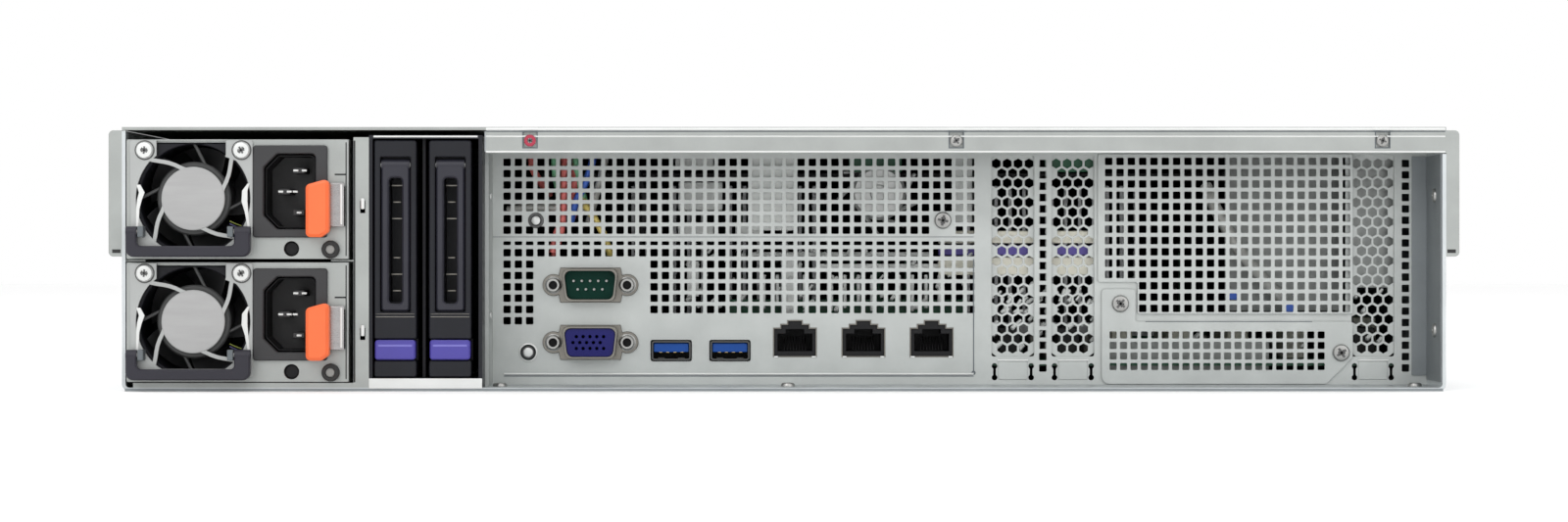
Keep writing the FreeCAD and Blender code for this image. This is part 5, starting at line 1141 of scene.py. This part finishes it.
def board_parts():
    """Small connectors, chips and capacitors on the board, behind the panel."""
    left = span("motherboard")[0].x
    z = BOARD_TOP
    chips = []
    for _ in range(26):
        x = left + 20 + random.random() * 270
        y = PANEL_BACK + 40 + random.random() * 60
        size = 3 + random.random() * 6
        chips.append((x, x + size, y, y + size, z, z + 1.4))
    cans = []
    for _ in range(14):
        x = 70 + random.random() * 130
        y = PANEL_BACK + 30 + random.random() * 70
        cans.append(((x, y, z), (x, y, z + 8), 3.1, 20))

    def socket(x, half, start, end, height):
        return x - half, x + half, PANEL_BACK + start, PANEL_BACK + end, z, z + height

    headers = [socket(x, 3.6, 45, 106, 11) for index, x in enumerate(SLOT_XS) if index not in COVERED]
    headers += [socket(x, 4, 60, 84, 14) for x in (-81.0, 62.0, 205.0)]
    piece("board_chips", CHIP, "chassis", bevel=0.2, boxes=chips)
    piece("board_headers", IVORY, "chassis", bevel=0.3, boxes=headers)
    piece("slot_sockets", CHIP, "chassis", bevel=0.3,
          boxes=[socket(x, 3.6, 20, 106, 11) for x in COVERED_XS])
    piece("board_capacitors", NICKEL, "chassis", bevel=0.3, rods=cans)


def leads():
    """Coloured leads seen through the perforated panel, each from out of sight to out of sight."""
    y = PANEL_BACK + 2.2
    routes = [
        ("red", [(-86, y + 8, 84), (-86, y, 79), (-85, y + 2, 72), (-80, y + 12, 66)]),
        ("green", [(-78, y + 6, 84), (-78, y, 79), (-77.5, y + 1, 70), (-76, y + 10, 62)]),
        ("red", [(-74.5, y + 6, 84), (-74.6, y, 77), (-74.6, y, 64), (-75.5, y, 52), (-78.3, y, 46),
                 (-79, y + 8, 40)]),
        ("red", [(-70.5, y + 8, 82), (-70.8, y + 1, 75), (-71.2, y + 1, 66), (-72, y + 6, 58)]),
        ("blue", [(-64.5, y + 6, 82), (-64.8, y, 77), (-67.5, y, 69), (-71.5, y, 62), (-72.5, y + 2, 56)]),
        ("yellow", [(-69.5, y + 6, 66), (-68, y, 62.5), (-64.5, y, 58), (-61, y, 52), (-58.8, y, 45.5),
                    (-58, y + 8, 40)]),
        ("white", [(-60, y + 6, 82), (-61.5, y + 1, 74), (-63.8, y + 1, 66), (-66.5, y + 5, 56)]),
        ("black", [(-52, y + 7, 80), (-48, y + 4, 70), (-47, y + 4, 58), (-50, y + 8, 46)]),
        ("red", [(-75.4, y + 4, 61), (-74.8, y, 58), (-78.0, y, 51), (-78.4, y, 46)]),
        ("white", [(-94, y + 2, 60.6), (-88, y + 1, 61.4), (-76, y + 1, 61.2), (-66, y + 2, 60.4)]),
        ("green", [(-71.0, y + 3, 82), (-70.6, y + 1, 76), (-69.4, y + 1, 68), (-67, y + 5, 60)]),
    ]
    for k, (colour, points) in enumerate(routes):
        tube("lead_%d_%s" % (k + 1, colour), points, 1.3, WIRES[colour], "chassis")


def behind(x0, x1, z0, z1, depth, thick=3.0):
    """Box at a depth behind the panel's inner face."""
    return x0, x1, PANEL_BACK + depth, PANEL_BACK + depth + thick, z0, z1


def panel_side_parts():
    """Pale housings, a blower's hub, boards, card edges and brackets that show through the holes."""
    y = PANEL_BACK + 2.2
    housings = [behind(-11.5, 3.6, 53.5, 79.0, 1.6), behind(57.5, 64.0, 56.0, 79.0, 3.0),
                behind(-37.0, -24.0, 74.5, 78.5, 4.0), behind(-36.0, -21.0, 60.5, 70.0, 9.0),
                behind(-36.0, -24.0, 52.0, 55.2, 3.0), behind(-16.5, -7.5, 52.0, 55.2, 3.0),
                behind(-33.0, -29.0, 31.0, 43.0, 6.0), behind(-1.0, 3.5, 24.0, 46.0, 5.0),
                behind(12.0, 58.0, 40.6, 42.2, 4.5), behind(-12.0, 50.0, 44.8, 46.2, 9.0)]
    posts = [behind(4.6 * k - 12.0, 4.6 * k - 10.9, 26.0 + k % 3, 38.5, 6.0, 6.0) for k in range(16)]
    piece("panel_side_connectors", PALE, "chassis", bevel=0.3, boxes=housings + posts)
    x, z = 32.2, 66.2
    spokes = []
    for k in range(9):
        a = 2 * math.pi * k / 9
        spokes.append(((x + 9 * math.cos(a), y + 5, z + 9 * math.sin(a)),
                       (x + 14 * math.cos(a + 0.5), y + 5, z + 14 * math.sin(a + 0.5)), 0.7, 8))
    hub = [(-8, 0), (-8, 8.6), (-1, 9.2), (0, 8.2), (0, 3.0), (-0.6, 2.6), (-0.6, 0)]
    piece("blower_hub", ZINC_PALE_AND_HIGHLIGHT, "chassis", lathes=[(x, z, y, hub, 40)], rods=spokes,
          boxes=[behind(-42.0, 66.0, 50.4, 51.6, 0.05, 1.35)])
    piece("small_boards", BOARD, "chassis", bevel=0.2,
          boxes=[behind(22.0, 40.0, 73.4, 79.0, 3, 2), behind(88.5, 105.5, 73.4, 79.0, 3, 2),
                 behind(-20.0, 62.0, 24.0, 30.0, 14, 2)])
    cards = (60.0, 77.5, 97.8)
    piece("card_edge_housings", PURPLE, "chassis", bevel=0.3,
          boxes=[behind(card - 7.5, card + 7.5, 45.2, 48.4, 3.5, 4.5) for card in cards])
    piece("card_edge_latches", IVORY, "chassis", bevel=0.3,
          boxes=[behind(card - 7.5, card + 7.5, z0, z1, 3, 5) for card in cards
                 for z0, z1 in ((49.2, 53.4), (38.4, 44.4))])
    piece("inner_brackets", ZINC, "chassis", bevel=0.2,
          boxes=[behind(191.0, 208.0, 34.0, 79.0, 5, 1.2), behind(151.0, 190.5, 26.0, 79.0, 16, 1.2),
                 behind(109.0, 165.0, 4.5, 15.6, 5, 1.2)])
    tube("riser_cable", [(143.5, y + 4, 69), (146, y + 1, 62), (150, y + 1, 55), (155, y + 1, 46),
                         (160, y + 3, 40), (170, y + 8, 30)], 2.1, WIRES["white"], "chassis")
    component_leads(y)
    piece("riser_plugs", WIRES["blue"], "chassis", bevel=0.3,
          boxes=[(151.0, 155.0, y, y + 4, 30.0, 33.5), (170.0, 173.5, y, y + 4, 25.6, 28.8)])


def component_leads(y):
    """Scattered pale leads of the parts that stand on the board and on the cards."""
    bits = []
    for k in range(120):
        x = (-38.0 if k % 3 else 69.0) + random.random() * (102.0 if k % 3 else 36.0)
        z = 25.5 + random.random() * (22.0 if x < 64 else 9.0)
        size = 0.5 + random.random() * 1.3
        end = (x + size, y + 2, z + random.random() * 2.2)
        bits.append(((x, y + 1, z), end, 0.35 + random.random() * 0.4, 8))
    for k in range(40):
        x = 70.0 + random.random() * (36.0 if k % 2 else 138.0)
        z = 13.0 + random.random() * 20.0
        bits.append(((x, y + 2, z), (x + 1.5, y + 3, z + 1.4), 0.4 + random.random() * 0.4, 8))
    piece("component_leads", PALE, "chassis", rods=bits)


def edge_trim():
    """Hooks and shade on the strip beside the trays, the cage's foot with a painted highlight along the
    cage's top edge, and painted shade in the slots of the rails' ends.
    """
    piece("strip_hooks", ZINC_PALE_AND_HIGHLIGHT, "chassis", bevel=0.25,
          boxes=[(-139.9, -138.7, REAR - 0.9, REAR, z - 1.2, z + 2.4) for z in (61.5, 19.5)])
    piece("strip_edge_shade", BLACK, "chassis", boxes=[(-142.3, -141.8, REAR - 0.06, REAR + 0.2, 3.0, 83.0)])
    low, high = span("rear_drive_cage")
    # Pale strips: the cage's foot, and a painted highlight along the cage's top edge.
    piece("cage_foot_and_top_highlight", ZINC_PALE_AND_HIGHLIGHT, "chassis", bevel=0.15,
          boxes=[(low.x, high.x, REAR - 0.4, REAR - 0.02, 0.9, 4.3),
                 (low.x + 1.5, high.x - 1.5, REAR - 0.3, REAR - 0.02, high.z - 0.75, high.z - 0.15)])
    low, high = span("slide_rails")
    # Dark boxes as painted shade in the slots of the rails' ends.
    piece("rail_end_slot_shade", RUBBER, "chassis",
          boxes=[(x - 1.4, x + 1.4, REAR - 0.05, REAR + 0.2, low.z + 1.2, low.z + 2.4)
                 for x in (low.x + 2.6, high.x - 2.6)])


def system_fans():
    for number in range(1, 5):
        name = "fan_%d" % number
        rotor = "fan_rotor_%d" % number
        impeller(name + "_blades", PIVOTS[name + "_spin"], rotor, name, 16.0, 37.0, 7, 40.0)


# ---- stage ----------------------------------------------------------------------------------------
CAMERA_DISTANCE = 1381.0
FRAME_WIDTH = 518.6
SENSOR = 36.0


def light(name, place, target, size, power):
    data = bpy.data.lights.new(name, "AREA")
    data.size = size
    data.energy = power
    obj = bpy.data.objects.new(name, data)
    obj.location = place
    obj.rotation_euler = (Vector(target) - Vector(place)).to_track_quat("-Z", "Y").to_euler()
    bpy.context.scene.collection.objects.link(obj)


def stage():
    """Pale floor, white world, three soft lights and the camera behind the server's rear."""
    floor = bpy.data.materials.new("floor_pale")
    floor.use_nodes = True
    shader = floor.node_tree.nodes["Principled BSDF"]
    shader.inputs["Base Color"].default_value = (0.97, 0.97, 0.97, 1)
    shader.inputs["Roughness"].default_value = 0.7
    bm = bmesh.new()
    bmesh.ops.create_grid(bm, x_segments=1, y_segments=1, size=6.0)
    mesh = bpy.data.meshes.new("floor")
    bm.to_mesh(mesh)
    bm.free()
    plane = bpy.data.objects.new("floor", mesh)
    mesh.materials.append(floor)
    bpy.context.scene.collection.objects.link(plane)

    world = bpy.data.worlds.new("studio")
    world.use_nodes = True
    world.node_tree.nodes["Background"].inputs["Color"].default_value = (1.0, 1.0, 1.0, 1)
    world.node_tree.nodes["Background"].inputs["Strength"].default_value = 1.0
    bpy.context.scene.world = world
    bpy.context.scene.view_settings.view_transform = "Standard"

    rear = REAR * MM
    light("key", (-0.7, rear - 1.5, 1.1), (0, rear, 0.04), 1.2, 10)
    light("fill", (0.9, rear - 1.4, 0.7), (0, rear, 0.04), 1.4, 6)
    light("top", (0, 0, 2.0), (0, 0, 0), 2.0, 16)

    camera = bpy.data.cameras.new("camera")
    camera.sensor_width = SENSOR
    camera.lens = SENSOR * CAMERA_DISTANCE / FRAME_WIDTH
    camera.clip_start = 0.05
    obj = bpy.data.objects.new("camera", camera)
    low, high = cad_bounds
    obj.location = (0.0, rear - CAMERA_DISTANCE * MM, (low.z + high.z) / 2 - 0.0006)
    obj.rotation_euler = (math.pi / 2, 0, 0)
    bpy.context.scene.collection.objects.link(obj)
    bpy.context.scene.camera = obj


# ---- dressing -------------------------------------------------------------------------------------
paint(ZINC, "top_cover", "slide_rails", "psu_cage", "front_drive_cage", "fan_wall")
paint(PAN, "chassis_pan")
# The rear drive cage gets the carriers' near-black as painted shade of its dark inside; the front carriers
# are that plastic.
paint(CARRIER, "rear_drive_cage", *[n for n in frame["nodes"] if n.startswith("front_carrier")])
paint(BOARD, "motherboard", "backplanes")
paint(ALUMINIUM, "heatsinks")
paint(DUCT, "air_duct")
paint(FAN_BLACK, "fan_frames")
paint(EAR, "rack_ears")
paint(HUB, "power_button")
chassis_screws()
cover_parts()
rear_panel()
panel_trim()
slot_covers()
riser_blank()
mezz_cover()
dsub_connectors()
usb_sockets()
lan_sockets()
id_key()
for number in (1, 2):
    psu(number)
    rear_tray(number)
memory_chips()
board_parts()
leads()
panel_side_parts()
edge_trim()
system_fans()
stage()
